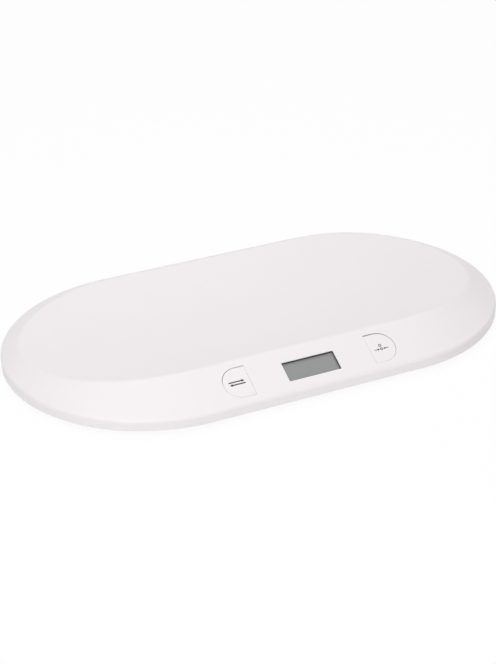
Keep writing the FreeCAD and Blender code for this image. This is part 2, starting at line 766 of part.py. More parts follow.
def make_load_cell(name, side, end):
    """Slotted steel plate: the frame seats in the well, and the tongue carries the foot."""
    cell = new_body(f"load_cell_{name}")
    place(cell, f"{side}*{FOOT_X}", f"{end}*{FOOT_Y}", "cell_level", 0 if side < 0 else 180)
    plan = sketch(cell, "plan")
    centred(plan, "0", "0", CELL_SIZE, CELL_SIZE, "cell_corner")
    pad(cell, "plate", plan, "cell_thickness")
    tongue = "(tongue_width/2)"
    slot = sketch(cell, "slot_plan")
    outline(slot, [
        (f"(-{CELL_INSIDE})", tongue), (f"({CELL_INSIDE}-cell_slot)", tongue),
        (f"({CELL_INSIDE}-cell_slot)", f"(-{tongue})"), (f"(-{CELL_INSIDE})", f"(-{tongue})"),
        (f"(-{CELL_INSIDE})", f"(-{tongue}-cell_slot)"), (CELL_INSIDE, f"(-{tongue}-cell_slot)"),
        (CELL_INSIDE, f"({tongue}+cell_slot)"), (f"(-{CELL_INSIDE})", f"({tongue}+cell_slot)"),
    ])
    pocket(cell, "slot", slot, reverse=True)


def make_gauge_seal(name, side, end):
    """Resin over the strain gauge, at the root of the tongue."""
    seal = new_body(f"gauge_seal_{name}")
    place(seal, f"{side}*{FOOT_X}", f"{end}*{FOOT_Y}", CELL_TOP, 0 if side < 0 else 180)
    plan = sketch(seal, "plan")
    middle = f"(gauge_inset+gauge_length/2-{CELL_INSIDE})"
    centred(plan, middle, "0", "gauge_length", "gauge_width", "(gauge_width/4)")
    pad(seal, "drop", plan, "gauge_height")
    dress(seal, "Chamfer", "edge", "gauge_height/3", level_edge("gauge_height"))


def make_display():
    """Foam frame, display glass, its holder and the contact strip under the glass."""
    gasket = new_body("display_gasket")
    place_on_bevel(gasket)
    plan = sketch(gasket, "plan", f"-{GLASS_DEPTH}")
    centred(plan, "0", "window_rise", "window_width+2*gasket_border", "window_height+2*gasket_border")
    centred(plan, "0", "window_rise", "window_width", "window_height", "window_corner")
    pad(gasket, "frame", plan, "gasket_thickness")

    glass = new_body("lcd_panel")
    place_on_bevel(glass)
    half = "(window_height/2+glass_border)"
    wide = "(window_width+2*glass_border)"
    front = sketch(glass, "front_plan", f"-{GLASS_DEPTH}")
    centred(front, "0", "window_rise", wide, f"(2*{half})")
    pad(glass, "front", front, "glass_thickness", reverse=True)
    rear = sketch(glass, "rear_plan", f"-({GLASS_DEPTH}+glass_thickness)")
    rectangle(rear, f"(-{wide}/2)", f"(window_rise-{half}+glass_ledge)", f"({wide}/2)",
              f"(window_rise+{half})")
    pad(glass, "rear", rear, "glass_thickness", reverse=True)

    holder = new_body("lcd_frame")
    place_on_bevel(holder)
    nest = "(2*(glass_border+holder_fit))"
    body_plan = sketch(holder, "plan", "-board_depth")
    centred(body_plan, "0", "window_rise", f"(window_width+{nest}+2*holder_wall)",
            f"(window_height+{nest}+2*holder_wall)", "board_corner")
    pad(holder, "block", body_plan, f"board_depth-{GLASS_DEPTH}-holder_drop")
    shelf = f"({GLASS_DEPTH}+2*glass_thickness)"
    nest_plan = sketch(holder, "nest_plan", f"-{shelf}")
    centred(nest_plan, "0", "window_rise", f"(window_width+{nest})", f"(window_height+{nest})")
    pocket(holder, "nest", nest_plan, reverse=True)
    low = f"(window_rise-{half})"
    opening = sketch(holder, "opening_plan", f"-{shelf}")
    rectangle(opening, f"(-{wide}/2+shelf_width)", f"({low}+glass_ledge+shelf_width)",
              f"({wide}/2-shelf_width)", f"(window_rise+{half}-shelf_width)")
    rectangle(opening, f"(-{wide}/2+shelf_width-connector_fit)",
              f"({low}+(glass_ledge-connector_thickness)/2-connector_fit)",
              f"({wide}/2-shelf_width+connector_fit)",
              f"({low}+(glass_ledge+connector_thickness)/2+connector_fit)")
    pocket(holder, "opening", opening)

    strip = new_body("lcd_connector")
    place_on_bevel(strip)
    strip_plan = sketch(strip, "plan", "-board_depth")
    centred(strip_plan, "0", f"({low}+glass_ledge/2)", f"({wide}-2*shelf_width)", "connector_thickness")
    pad(strip, "strip", strip_plan, f"board_depth-{GLASS_DEPTH}-glass_thickness")


def make_display_board():
    """Board behind the display, with the controller under resin and the converter chip."""
    board = new_body("display_board")
    place_on_bevel(board)
    plan = sketch(board, "plan", "-board_depth")
    centred(plan, "0", "board_rise", BOARD_WIDTH, "board_height", "board_corner")
    discs(plan, board_screw_places(), "board_hole_radius")
    pad(board, "plate", plan, "board_thickness", reverse=True)

    back = "(board_depth+board_thickness)"
    seal = new_body("chip_seal")
    seal.Placement = FreeCAD.Placement(FreeCAD.Vector(), FreeCAD.Rotation(CENTRE_X, 1))
    tie(seal, Placement__Rotation__Angle="bevel_angle")
    tie(seal, Placement__Base__y=f"board_rise*cos(bevel_angle)+{back}*sin(bevel_angle)-tray_width/2")
    tie(seal, Placement__Base__z=f"{RIM}+board_rise*sin(bevel_angle)-{back}*cos(bevel_angle)")
    sphere = "((chip_seal_radius^2+chip_seal_height^2)/(2*chip_seal_height))"
    dome = sketch(seal, "profile", "0", "XZ_Plane")
    outline(dome, [("0", "0"), ("0", "(-chip_seal_height)"), ("chip_seal_radius", "0")], {1: sphere})
    turned(seal, "dome", dome)

    chip = new_body("converter_chip")
    place_on_bevel(chip)
    case = sketch(chip, "plan", f"-{back}")
    centred(case, CHIP_X, "board_rise", "chip_length", "chip_width")
    pad(chip, "case", case, "chip_height", reverse=True)
    pins = sketch(chip, "pin_plan", f"-{back}")
    for side in (-1, 1):
        for count in range(-3, 4):
            centred(pins, f"({CHIP_X}+{count}*pin_spacing)",
                    f"(board_rise+{side}*(chip_width/2+pin_reach/4))", "pin_width", "1.5*pin_reach")
    pad(chip, "pins", pins, "pin_width", reverse=True)


def make_switch(side, word, where):
    """One push button with the switch and board behind it."""
    board = new_body(f"{where}_switch_board")
    place_on_bevel(board)
    plan = sketch(board, "plan", "-board_depth")
    middle = f"({side}*{BUTTON_MIDDLE})"
    centred(plan, middle, "button_rise", "switch_board_length", "switch_board_height", "board_corner")
    discs(plan, switch_screw_places(side), "board_hole_radius")
    pad(board, "plate", plan, "board_thickness", reverse=True)

    switch = new_body(f"{word}_switch")
    place_on_bevel(switch)
    case = sketch(switch, "plan", "-board_depth")
    centred(case, middle, "button_rise", "switch_size", "switch_size", "switch_corner")
    pad(switch, "case", case, "switch_height")
    bore = sketch(switch, "bore_plan", "-board_depth+switch_height")
    disc(bore, middle, "button_rise", "plunger_radius+plunger_fit")
    pocket(switch, "bore", bore, "plunger_hold+button_travel+plunger_fit")

    plunger = new_body(f"{word}_switch_plunger")
    place_on_bevel(plunger)
    rod = sketch(plunger, "plan", "-board_depth+switch_height-plunger_hold")
    disc(rod, middle, "button_rise", "plunger_radius")
    pad(plunger, "rod", rod, "plunger_hold+plunger_reach")

    button = new_body(f"{word}_button")
    place_on_bevel(button, f"(-{side}*button_drift)", f"{word}_button_sag")
    face = sketch(button, "plan")
    dee(face, side, "0")
    pad(button, "face", face, f"{FLANGE_DEPTH}+flange_height", reverse=True)
    flange = sketch(button, "flange_plan", f"-{FLANGE_DEPTH}")
    dee(flange, side, "(button_gap+flange_width)")
    pad(button, "flange", flange, "flange_height", reverse=True)
    dress(button, "Fillet", "face_edge", "button_edge", level_edge("0"))
    hollow = sketch(button, "hollow_plan", "-button_top")
    dee(hollow, side, "(-button_top)")
    pocket(button, "hollow", hollow)
    stem = sketch(button, "stem_plan", "-button_top")
    disc(stem, middle, "button_rise", "stem_radius")
    pad(button, "stem", stem, f"{STEM_END}-button_top", reverse=True)
    web = sketch(button, "web_plan", "-button_top")
    centred(web, middle, "button_rise", "rib_thickness", "button_height-button_top")
    pad(button, "web", web, f"{FLANGE_DEPTH}-button_top", reverse=True)


def make_screws(name, places, top, head_radius, head_height, radius, length, on_bevel):
    """Screws with their heads below the surface they hold, as one group of solids."""
    screws = new_body(name)
    if on_bevel:
        place_on_bevel(screws)
    heads = sketch(screws, "head_plan", top)
    discs(heads, places, head_radius)
    pad(screws, "heads", heads, head_height, reverse=True)
    shanks = sketch(screws, "shank_plan", f"{top}-{head_height}/2")
    discs(shanks, places, radius)
    pad(screws, "shanks", shanks, f"{length}+{head_height}/2")


def make_all_screws():
    web = "(ground_gap+screw_head_height+head_clearance)"
    make_screws("cover_screws", screw_places(), web, "screw_head_radius", "screw_head_height",
                "screw_radius", "screw_length", False)
    back = "(-board_depth-board_thickness)"
    shape = ("board_screw_head", "board_screw_height", "board_screw_radius", "board_screw_length")
    make_screws("display_board_screws", board_screw_places(), back, *shape, True)
    places = switch_screw_places(-1) + switch_screw_places(1)
    make_screws("switch_board_screws", places, back, *shape, True)


def make_battery_door():
    """Lid of the bay: two tongues at one end, a latch tab between two slots at the other."""
    door = new_body("battery_door")
    place(door, "0", "(-bay_middle)", "ground_gap")
    plan = sketch(door, "plan")
    centred(plan, "0", "0", DOOR_LENGTH, DOOR_WIDTH, "(door_corner-door_gap)")
    pad(door, "plate", plan, "door_thickness")
    tab_end = f"({DOOR_LENGTH}/2)"
    slots = sketch(door, "latch_slot_plan")
    for end in (-1, 1):
        middle = f"({end}*(latch_width-latch_slot)/2)"
        rectangle(slots, f"({tab_end}-latch_length)", f"({middle}-latch_slot/2)",
                  f"({tab_end}-door_border/2)", f"({middle}+latch_slot/2)")
    pocket(door, "latch_slots", slots, reverse=True)
    wall = sketch(door, "latch_wall_plan", "door_thickness/2")
    latch_face = f"({tab_end}-door_border/2)"
    centred(wall, f"({latch_face}-latch_wall/2)", "0", "latch_wall", "latch_width-3*latch_slot")
    pad(door, "latch_wall", wall, "door_thickness/2+latch_height-door_seat_gap")
    nose = sketch(door, "latch_nose_plan", "door_thickness+latch_height/2")
    centred(nose, f"({latch_face}+latch_nose/2-latch_wall/4)", "0", "latch_nose+latch_wall/2",
            "latch_width-3*latch_slot")
    pad(door, "latch_nose", nose, "latch_height/2-2*door_seat_gap")
    tongues = sketch(door, "tongue_plan", "tongue_lip+tongue_clearance")
    for end in (-1, 1):
        rectangle(tongues, f"(-{tab_end}-door_gap-tongue_length)",
                  f"({end}*tongue_place-tongue_tab_width/2)", f"(-{tab_end}+door_border/2)",
                  f"({end}*tongue_place+tongue_tab_width/2)")
    pad(door, "tongues", tongues, "tongue_thickness")
    ribs = sketch(door, "rib_plan", "door_thickness/2")
    for end in (-1, 1):
        centred(ribs, f"({end}*{BAY_LENGTH}/4)", "0", "door_rib_width", f"({BAY_WIDTH}-door_border)")
    pad(door, "ribs", ribs, "door_thickness/2+door_rib_height")


def make_batteries():
    """Three cells side by side, the middle one turned round."""
    for number, lane in enumerate((-1, 0, 1), start=1):
        cell = new_body(f"battery_{number}")
        direction = -1 if lane == 0 else 1
        start = f"({direction}*(spring_length/2-nub_height/2-battery_length/2))"
        place(cell, start, f"({lane}*{BATTERY_PITCH}-bay_middle)", BATTERY_Z, 0 if direction > 0 else 180)
        case = sketch(cell, "case_plan", "0", "YZ_Plane")
        disc(case, "0", "0", "battery_radius")
        pad(cell, "case", case, "battery_length")
        nub = sketch(cell, "nub_plan", "battery_length", "YZ_Plane")
        disc(nub, "0", "0", "nub_radius")
        pad(cell, "nub", nub, "nub_height")


def make_contacts():
    """Flat contact plates on the bay's end walls, and bowed leaves for the flat battery ends."""
    plates = new_body("battery_plates")
    place(plates, "0", "(-bay_middle)", BATTERY_Z)
    long_plate = f"(contact_width+{BATTERY_PITCH})"
    for end, single, double in ((1, -1, 0.5), (-1, 1, -0.5)):
        name = "right" if end > 0 else "left"
        plan = sketch(plates, f"{name}_plan", f"{end}*({BAY_LENGTH}/2-contact_thickness/2)", "YZ_Plane")
        centred(plan, f"({single}*{BATTERY_PITCH})", "0", "contact_width", "contact_height")
        centred(plan, f"({double}*{BATTERY_PITCH})", "0", long_plate, "contact_height")
        feature = pad(plates, f"{name}_plates", plan, "contact_thickness")
        feature.SideType = "Symmetric"
        doc.recompute()

    leaves = new_body("battery_springs")
    place(leaves, "0", "(-bay_middle)", BATTERY_Z)
    rise = "spring_length"
    outer = f"((leaf_span^2/4+{rise}^2)/(2*{rise}))"
    inner = f"({outer}-leaf_thickness)"
    inner_rise = f"({rise}-leaf_thickness)"
    foot = f"(sqrt({inner}^2-({inner}-{inner_rise})^2))"
    for lane in (-1, 0, 1):
        side = -1 if lane != 0 else 1
        wall = f"({side}*({BAY_LENGTH}/2-contact_thickness))"
        crown = f"({wall}-({side})*{rise})"
        inside = f"({wall}-({side})*{inner_rise})"
        points = [
            (wall, "(leaf_span/2)"), (crown, "0"), (wall, "(-leaf_span/2)"),
            (wall, f"(-{foot})"), (inside, "0"), (wall, foot),
        ]
        turn = "-" if side < 0 else ""
        back = "" if side < 0 else "-"
        profile = sketch(leaves, f"leaf_{lane + 2}_profile", f"(-{lane}*{BATTERY_PITCH})", "XZ_Plane")
        outline(profile, points, {0: turn + outer, 1: turn + outer, 3: back + inner, 4: back + inner})
        feature = pad(leaves, f"leaf_{lane + 2}", profile, "leaf_width")
        feature.SideType = "Symmetric"
        doc.recompute()


def wire_path(points, bend):
    """Straight runs joined by tangent arcs of one radius."""
    edges = []
    start = points[0]
    for before, corner, after in zip(points, points[1:], points[2:]):
        back = (before - corner).normalize()
        ahead = (after - corner).normalize()
        half_turn = (math.pi - back.getAngle(ahead)) / 2
        trim = bend * math.tan(half_turn)
        first = corner + back * trim
        last = corner + ahead * trim
        bisector = (back + ahead).normalize()
        middle = corner + bisector * (bend / math.cos(half_turn) - bend)
        edges.append(Part.LineSegment(start, first).toShape())
        edges.append(Part.Arc(first, middle, last).toShape())
        start = last
    edges.append(Part.LineSegment(start, points[-1]).toShape())
    return Part.Wire(edges)


def make_wire(name, points):
    """A round lead along a path of points given as expressions."""
    route = [FreeCAD.Vector(*(value(text) for text in point)) for point in points]
    radius = value("wire_radius")
    path = wire_path(route, value("wire_bend"))
    section = Part.Wire(Part.Circle(route[0], route[1] - route[0], radius).toShape())
    shape = path.makePipeShell([section], True, False)
    if abs(shape.Volume / (math.pi * radius ** 2 * path.Length) - 1) > 0.01:
        raise RuntimeError(f"{name}: the volume of the wire is wrong")
    wire = doc.addObject("Part::Feature", name)
    wire.Label = name
    wire.Shape = shape
    nodes.append(wire)


def on_board(x, up):
    """The point on the back of the boards, at a distance up the bevel, just clear of them."""
    depth = "(board_depth+board_thickness+wire_radius)"
    return (x, f"({up}*cos(bevel_angle)+{depth}*sin(bevel_angle)-tray_width/2)",
            f"({RIM}+{up}*sin(bevel_angle)-{depth}*cos(bevel_angle))")


def make_wires():
    """Leads from the load cells, the battery bay and the switches to the display board."""
    low = f"({FLOOR_TOP}+wire_radius)"
    for name, (side, end) in CORNERS.items():
        x = f"({side}*{FOOT_X})"
        y = f"({end}*{FOOT_Y})"
        exit_level = f"({CELL_TOP}+wire_radius+wire_clearance/2)"
        past_well = f"({side}*({LEAD_LINE}+3*wire_bend))"
        gathered = f"({side}*({BOARD_WIDTH}/2+{3 if end < 0 else 5}*wire_bend))"
        points = [
            (f"({x}+{side}*({CELL_INSIDE}-gauge_inset-gauge_length))", y, exit_level),
            (f"({x}-{side}*({WELL_RADIUS}+well_wall+wire_bend))", y, exit_level),
            (past_well, y, low),
        ]
        if end > 0:
            points.append((f"({side}*{LEAD_LINE})", f"({y}-3*wire_bend)", low))
            points.append((f"({side}*{LEAD_LINE})", f"(-{FOOT_Y}+6*wire_bend)", low))
            points.append((gathered, f"(-{FOOT_Y}+2*wire_bend)", low))
        else:
            points.append((f"({gathered}+{side}*2*wire_bend)", f"(-{FOOT_Y})", low))
        up = f"(board_rise+board_height/2-{3 if end < 0 else 1.5}*wire_bend)"
        touch = on_board(f"({side}*({BOARD_WIDTH}/2-{2 if end < 0 else 4}*wire_bend))", up)
        points.append((f"({side}*{BOARD_WIDTH}/2)", f"({touch[1]}+3*wire_bend)",
                       f"({touch[2]}-wire_bend)"))
        points.append(touch)
        make_wire(f"cell_lead_{name}", points)
    for side, word in ((1, "plus"), (-1, "minus")):
        lane = f"(-{side}*{BATTERY_PITCH}-bay_middle)"
        out = f"({side}*({BAY_LENGTH}/2+bay_wall+2*wire_bend))"
        touch = on_board(f"({side}*2*wire_bend)", "(board_rise+board_height/2-2*wire_bend)")
        turn = f"({side}*4*wire_bend)"
        make_wire(f"battery_lead_{word}", [
            (f"({side}*{BAY_LENGTH}/2)", lane, TERMINAL_Z),
            (out, lane, TERMINAL_Z),
            (out, f"(-bay_middle-{BAY_WIDTH}/2-3*wire_bend)", TERMINAL_Z),
            (turn, f"({touch[1]}+3*wire_bend)", f"({touch[2]}-wire_bend)"),
            touch,
        ])
    for side, word in ((-1, "left"), (1, "right")):
        line = "(button_rise+wire_bend)"
        x, y, z = on_board(f"({side}*({BOARD_WIDTH}/2+{BUTTON_MIDDLE}-switch_board_length/2)/2)", line)
        make_wire(f"{word}_switch_lead", [
            on_board(f"({side}*({BUTTON_MIDDLE}-switch_board_length/4))", line),
            (x, y, f"({z}-wire_bend/2)"),
            on_board(f"({side}*({BOARD_WIDTH}/2-2*wire_bend))", line),
        ])


def finish():
    """Check every object, then write one STEP file for each node."""
    doc.recompute()
    for item in doc.Objects:
        if "Invalid" in item.State or "Error" in item.State:
            raise RuntimeError(f"{item.Label} did not build: {item.State}")
    for node in nodes:
        if node.Shape.isNull() or not node.Shape.isValid() or not node.Shape.Solids:
            raise RuntimeError(f"{node.Label} has no valid solid")
    os.makedirs("parts", exist_ok=True)
    for node in nodes:
        node.Shape.exportStep(f"parts/{node.Label}.step")


make_top_cover()
make_base_cover()
for corner_name, (corner_side, corner_end) in CORNERS.items():
    make_foot(corner_name, corner_side, corner_end)
    make_foot_pad(corner_name, corner_side, corner_end)
    make_load_cell(corner_name, corner_side, corner_end)
    make_gauge_seal(corner_name, corner_side, corner_end)
make_display()
make_display_board()
make_switch(-1, "unit", "left")
make_switch(1, "power", "right")
make_all_screws()
make_battery_door()
make_batteries()
make_contacts()
make_wires()
finish()
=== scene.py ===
"""A digital baby weighing scale: its finishes, keys, printed marks, small turned parts and studio.

Metres. X runs along the tray, Y from the display side to the back, Z up from the floor.
"""

import json
import math

import bmesh
import bpy
import numpy as np
from mathutils import Matrix, Vector


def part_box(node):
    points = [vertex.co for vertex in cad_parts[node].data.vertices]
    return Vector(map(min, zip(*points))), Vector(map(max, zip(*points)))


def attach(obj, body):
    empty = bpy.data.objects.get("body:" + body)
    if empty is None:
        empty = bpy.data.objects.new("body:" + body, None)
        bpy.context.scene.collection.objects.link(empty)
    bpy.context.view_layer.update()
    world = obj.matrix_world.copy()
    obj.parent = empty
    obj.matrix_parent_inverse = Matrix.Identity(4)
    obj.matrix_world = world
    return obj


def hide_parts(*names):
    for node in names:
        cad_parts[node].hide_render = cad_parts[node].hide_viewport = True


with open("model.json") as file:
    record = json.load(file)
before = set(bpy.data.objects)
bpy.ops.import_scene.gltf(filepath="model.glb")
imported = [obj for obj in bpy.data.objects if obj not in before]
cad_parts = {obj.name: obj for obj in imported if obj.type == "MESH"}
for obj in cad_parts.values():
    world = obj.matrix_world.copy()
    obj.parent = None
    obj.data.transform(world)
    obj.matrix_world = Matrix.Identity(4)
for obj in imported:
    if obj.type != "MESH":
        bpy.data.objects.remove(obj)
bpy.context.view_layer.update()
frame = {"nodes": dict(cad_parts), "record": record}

bl_info = {
    "name": "Baby weighing scale",
    "version": (1, 0, 0),
    "blender": (4, 5, 0),
    "location": "3D View > Sidebar > Scale",
    "description": "Finishes a baby weighing scale and sets up its studio",
    "category": "Add Mesh",
}

MM = 0.001
TRAY_LOW, TRAY_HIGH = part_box("top_cover")
SKIRT = 11 * MM
BEVEL = math.radians(27)
# the front bevel's own frame: X along it, Y up its slope from the rim, Z out of it
ON_BEVEL = (Matrix.Translation((0, TRAY_LOW.y, TRAY_LOW.z + SKIRT))
            @ Matrix.Rotation(BEVEL, 4, "X"))


def length(name, text, size):
    return bpy.props.FloatProperty(name=name, description=text, default=size, unit="LENGTH",
                                   precision=5)


def color(name, text, shade):
    return bpy.props.FloatVectorProperty(name=name, description=text, default=shade, size=3,
                                         subtype="COLOR", min=0, max=1)


def angle(name, text, degrees):
    return bpy.props.FloatProperty(name=name, description=text, default=math.radians(degrees),
                                   subtype="ANGLE")


def plain_number(name, text, size):
    return bpy.props.FloatProperty(name=name, description=text, default=size)


class KeySizes(bpy.types.PropertyGroup):
    flat: length("Flat side", "Distance of a key's flat side from the tray's middle", 67.2 * MM)
    straight: length("Straight", "Length of a key's straight edges", 10.95 * MM)
    height: length("Height", "Height of a key, up the bevel", 34.8 * MM)
    rise: length("Rise", "Distance of a key's middle from the rim, up the bevel", 26 * MM)
    edge: length("Edge", "Rounding of a key's edge", 0.35 * MM)
    skirt: length("Skirt", "Depth of the white cap's side, above its black carrier", 1 * MM)
    plate: length("Plate", "Thickness of the cap's face", 1.8 * MM)
    lap: length("Lap", "Width of the carrier's rim under the cap's side", 1.2 * MM)
    flange_depth: length("Flange depth", "Depth of the carrier's flange below the face", 2.5 * MM)
    flange_height: length("Flange height", "Height of the carrier's flange", 1.2 * MM)
    flange_reach: length("Flange reach", "Distance that the flange reaches out past the cap", 1.8 * MM)
    stem: length("Stem", "Radius of the stem that presses the switch", 2.5 * MM)
    stem_end: length("Stem end", "Depth of the stem's end below the face", 4.7 * MM)
    web: length("Web", "Thickness of the web under the cap", 1.2 * MM)
    drift: length("Drift", "Rest of both keys towards the display, within their play", 0.26 * MM)
    unit_sag: length("Unit key's sag", "Rest of the unit key down the bevel", 0.2 * MM)
    power_sag: length("Power key's sag", "Rest of the power key down the bevel", 0.42 * MM)
    power_trim: length("Power key's trim", "Height that the power key lacks beside the unit key",
                       0.3 * MM)
    power_turn: angle("Power key's turn", "Turn of the power key within its play", 0.4)


class MarkSizes(bpy.types.PropertyGroup):
    unit_place: length("Unit mark", "Middle of the unit key's mark along the bevel", -81.2 * MM)
    power_place: length("Power mark", "Middle of the power key's marks along the bevel", 79.6 * MM)
    arrow_length: length("Arrow length", "Length of the unit key's arrows", 17 * MM)
    arrow_stroke: length("Arrow stroke", "Width of the unit key's arrow shafts", 1.4 * MM)
    arrow_head: length("Arrow head", "Length and width of the unit key's arrow heads", 3.4 * MM)
    line_gap: length("Line gap", "Distance between two lines of a mark", 3.2 * MM)
    zero_width: length("Zero width", "Width of the whole zero mark", 15.6 * MM)
    small_stroke: length("Small stroke", "Width of the power key's strokes", 0.8 * MM)
    ink: length("Ink", "Thickness of the ink over the key", 0.02 * MM)


class DisplaySizes(bpy.types.PropertyGroup):
    width: length("Width", "Width of the polarising film", 57.4 * MM)
    height: length("Height", "Height of the polarising film", 22.5 * MM)
    corner: length("Corner", "Rounding of the film's corners", 0.6 * MM)
    rise: length("Rise", "Distance of the film's middle from the rim, up the bevel", 24.3 * MM)
    depth: length("Depth", "Depth of the glass below the bevel", 3.2 * MM)
    thickness: length("Thickness", "Thickness of the film on the glass", 0.18 * MM)


class ScrewSizes(bpy.types.PropertyGroup):
    ring: length("Ring", "Radius of the ring that the screws lie on at each end", 134.5 * MM)
    end_centre: length("End centre", "Distance of the tray's round ends' centres from its middle",
                       116.5 * MM)
    beside_key: length("Beside key", "Distance along the tray of the screws beside the keys",
                       128.21 * MM)
    front: length("Front", "Distance of the screw below the display from the middle", 98 * MM)
    turn: angle("Turn", "Place of the end screws round their ring", 25)
    head: length("Head", "Radius of the head", 2.8 * MM)
    head_height: length("Head height", "Height of the head", 1.9 * MM)
    shank: length("Shank", "Radius of the thread's crest", 1.45 * MM)
    root: length("Root", "Radius of the thread's root", 1.05 * MM)
    pitch: length("Pitch", "Pitch of the thread", 1.1 * MM)
    tip: length("Tip", "Length of the pointed tip", 1.6 * MM)
    recess: length("Recess", "Half length of the cross recess at the head's face", 1.5 * MM)
    recess_depth: length("Recess depth", "Depth of the cross recess", 1.15 * MM)


class BatterySizes(bpy.types.PropertyGroup):
    shoulder: length("Shoulder", "Rounding of the sleeve's ends", 0.7 * MM)
    nub: length("Nub", "Radius of the positive nub", 1.9 * MM)
    nub_height: length("Nub height", "Height of the positive nub", 1 * MM)
    rim: length("Rim", "Width of the sleeve's turned-in rim", 1.1 * MM)


class LidSizes(bpy.types.PropertyGroup):
    ridges: bpy.props.IntProperty(name="Ridges", description="Number of grip ridges on the battery lid",
                                  default=4, min=1)
    spacing: length("Spacing", "Distance between the grip ridges", 2 * MM)
    span: length("Span", "Length of a grip ridge", 15 * MM)
    width: length("Width", "Width of a grip ridge", 1 * MM)
    height: length("Height", "Height of a grip ridge", 0.6 * MM)
    inset: length("Inset", "Distance of the first ridge from the lid's edge", 15 * MM)


class Finishes(bpy.types.PropertyGroup):
    shell: color("Shell", "Glossy white of the tray and the keys", (0.87, 0.833, 0.844))
    base: color("Base", "Matt white of the base and the feet", (0.76, 0.755, 0.765))
    ink: color("Ink", "Printed marks", (0.02, 0.02, 0.022))
    film: color("Display", "Blank display film", (0.248, 0.252, 0.252))
    mask: color("Board", "Solder mask of the boards", (0.012, 0.11, 0.035))
    sleeve: color("Battery", "Printed sleeve of the batteries", (0.03, 0.06, 0.11))
    rubber: color("Rubber", "Soles of the feet", (0.035, 0.035, 0.037))


class StudioSettings(bpy.types.PropertyGroup):
    azimuth: angle("Azimuth", "Camera's turn round the tray", -24.09)
    elevation: angle("Elevation", "Camera's height over the horizon", 28.86)
    roll: angle("Roll", "Camera's turn about its own axis", -1.21)
    distance: length("Distance", "Camera's distance from its target", 1.669)
    target: bpy.props.FloatVectorProperty(name="Target", description="Point that the camera looks at",
                                          default=(-7.65 * MM, -0.28 * MM, 1 * MM), subtype="XYZ",
                                          unit="LENGTH", precision=5)
    lens: bpy.props.FloatProperty(name="Lens", description="Focal length", default=84.09, unit="CAMERA")
    sky: plain_number("Sky", "Strength of the even light from above the floor", 0.246)
    ground: plain_number("Ground", "Strength of the even light from below, through the floor", 0.85)
    seen_white: plain_number("Seen white", "Share of plain white in the floor as it is seen", 0.93)
    lamp_size: length("Lamp size", "Side of the square lamps", 2.4)
    lamp_distance: length("Lamp distance", "Distance of the lamps from the tray", 2.4)
    key_lamp: plain_number("Key lamp", "Power of the lamp over the front left, in watts", 37.7)
    low_lamp: plain_number("Low lamp", "Power of the low lamp in front, in watts", 9.2)
    back_lamp: plain_number("Back lamp", "Power of the lamp over the back right, in watts", 13.8)
    rear_lamp: plain_number("Rear lamp", "Power of the lamp over the back, in watts", 5.1)


# ---- shapes: arrays of points and lists of faces, in metres

def skin(rings, ends="flat"):
    """The surface through closed rings of points, given as an array of rings by points by XYZ.

    Its ends are closed with flat faces, joined to each other, or left open."""
    count, around = rings.shape[:2]
    index = np.arange(count * around).reshape(count, around)
    index = np.column_stack([index, index[:, :1]])
    if ends == "joined":
        index = np.vstack([index, index[:1]])
    faces = np.stack([index[:-1, :-1], index[:-1, 1:], index[1:, 1:], index[1:, :-1]], axis=-1)
    faces = faces.reshape(-1, 4).tolist()
    if ends == "flat":
        faces += [index[0, -2::-1].tolist(), index[-1, :-1].tolist()]
    return rings.reshape(-1, 3), faces


def stacked(outlines, heights, ends="flat"):
    """The surface through flat outlines of equally many points, each set at its height."""
    return skin(np.stack([np.column_stack([outline, np.full(len(outline), height)])
                          for outline, height in zip(outlines, heights)]), ends)


def turned(profile, around=32, wave=None):
    """A profile of radius and height, carried round the Z axis.

    The ring at each height is its radius times the cosine and sine of the turn; wave, if given, adds
    to the radius as a function of turn and height."""
    turn = np.linspace(0, 2 * np.pi, around, endpoint=False)
    radius, height = (np.repeat(profile[:, [i]], around, axis=1) for i in (0, 1))
    if wave is not None:
        radius = radius + wave(turn[None, :], height)
    return skin(np.stack([radius * np.cos(turn), radius * np.sin(turn), height], axis=-1), "open")


def round_rectangle(width, height, corner, steps=8):
    """A rectangle's outline about the origin, its corners replaced with quarter circles."""
    turn = np.linspace(0, np.pi / 2, steps)
    quarter = np.arange(4)[:, None]
    arc = turn[None, :] + quarter * np.pi / 2
    sign = np.array([(1, 1), (-1, 1), (-1, -1), (1, -1)])
    middle = sign * (width / 2 - corner, height / 2 - corner)
    points = middle[:, None, :] + corner * np.stack([np.cos(arc), np.sin(arc)], axis=-1)
    return points.reshape(-1, 2)


def dee(sizes, side, grow, steps=48):
    """A key's outline on the bevel: flat towards the display and a half circle away from it."""
    trim = sizes.power_trim if side > 0 else 0
    radius = (sizes.height - trim) / 2 + grow
    turn = np.linspace(-np.pi / 2, np.pi / 2, steps)
    x = np.append(sizes.flat + sizes.straight + radius * np.cos(turn), [sizes.flat - grow] * 2)
    y = np.append(sizes.rise + radius * np.sin(turn), [sizes.rise + radius, sizes.rise - radius])
    return np.column_stack([side * x, y])


def ribbon(path, sides, widths, low, high, ends="flat"):
    """A flat bar along a path: at each point it reaches half its width to either side."""
    reach = sides * np.reshape(widths, (-1, 1)) / 2
    corners = ((path + reach, low), (path - reach, low), (path - reach, high), (path + reach, high))
    rings = [np.column_stack([line, np.full(len(line), height)]) for line, height in corners]
    return skin(np.stack(rings, axis=1), ends)


def arrow(tail, tip, stroke, head, low, high):
    """A straight shaft that ends in a triangle as long and as wide as head.

    Its outline's points are a share along the arrow plus a share across it, at two heights."""
    tail, tip = np.array(tail), np.array(tip)
    whole = np.linalg.norm(tip - tail)
    along = (tip - tail) / whole
    across = np.array((-along[1], along[0]))
    neck = whole - head
    half = np.array([(0, stroke), (neck, stroke), (neck, head)]) * (1, 0.5)
    outline = np.vstack([half * (1, -1), (whole, 0), half[::-1]])
    return stacked([tail + outline @ np.array([along, across])] * 2, (low, high))


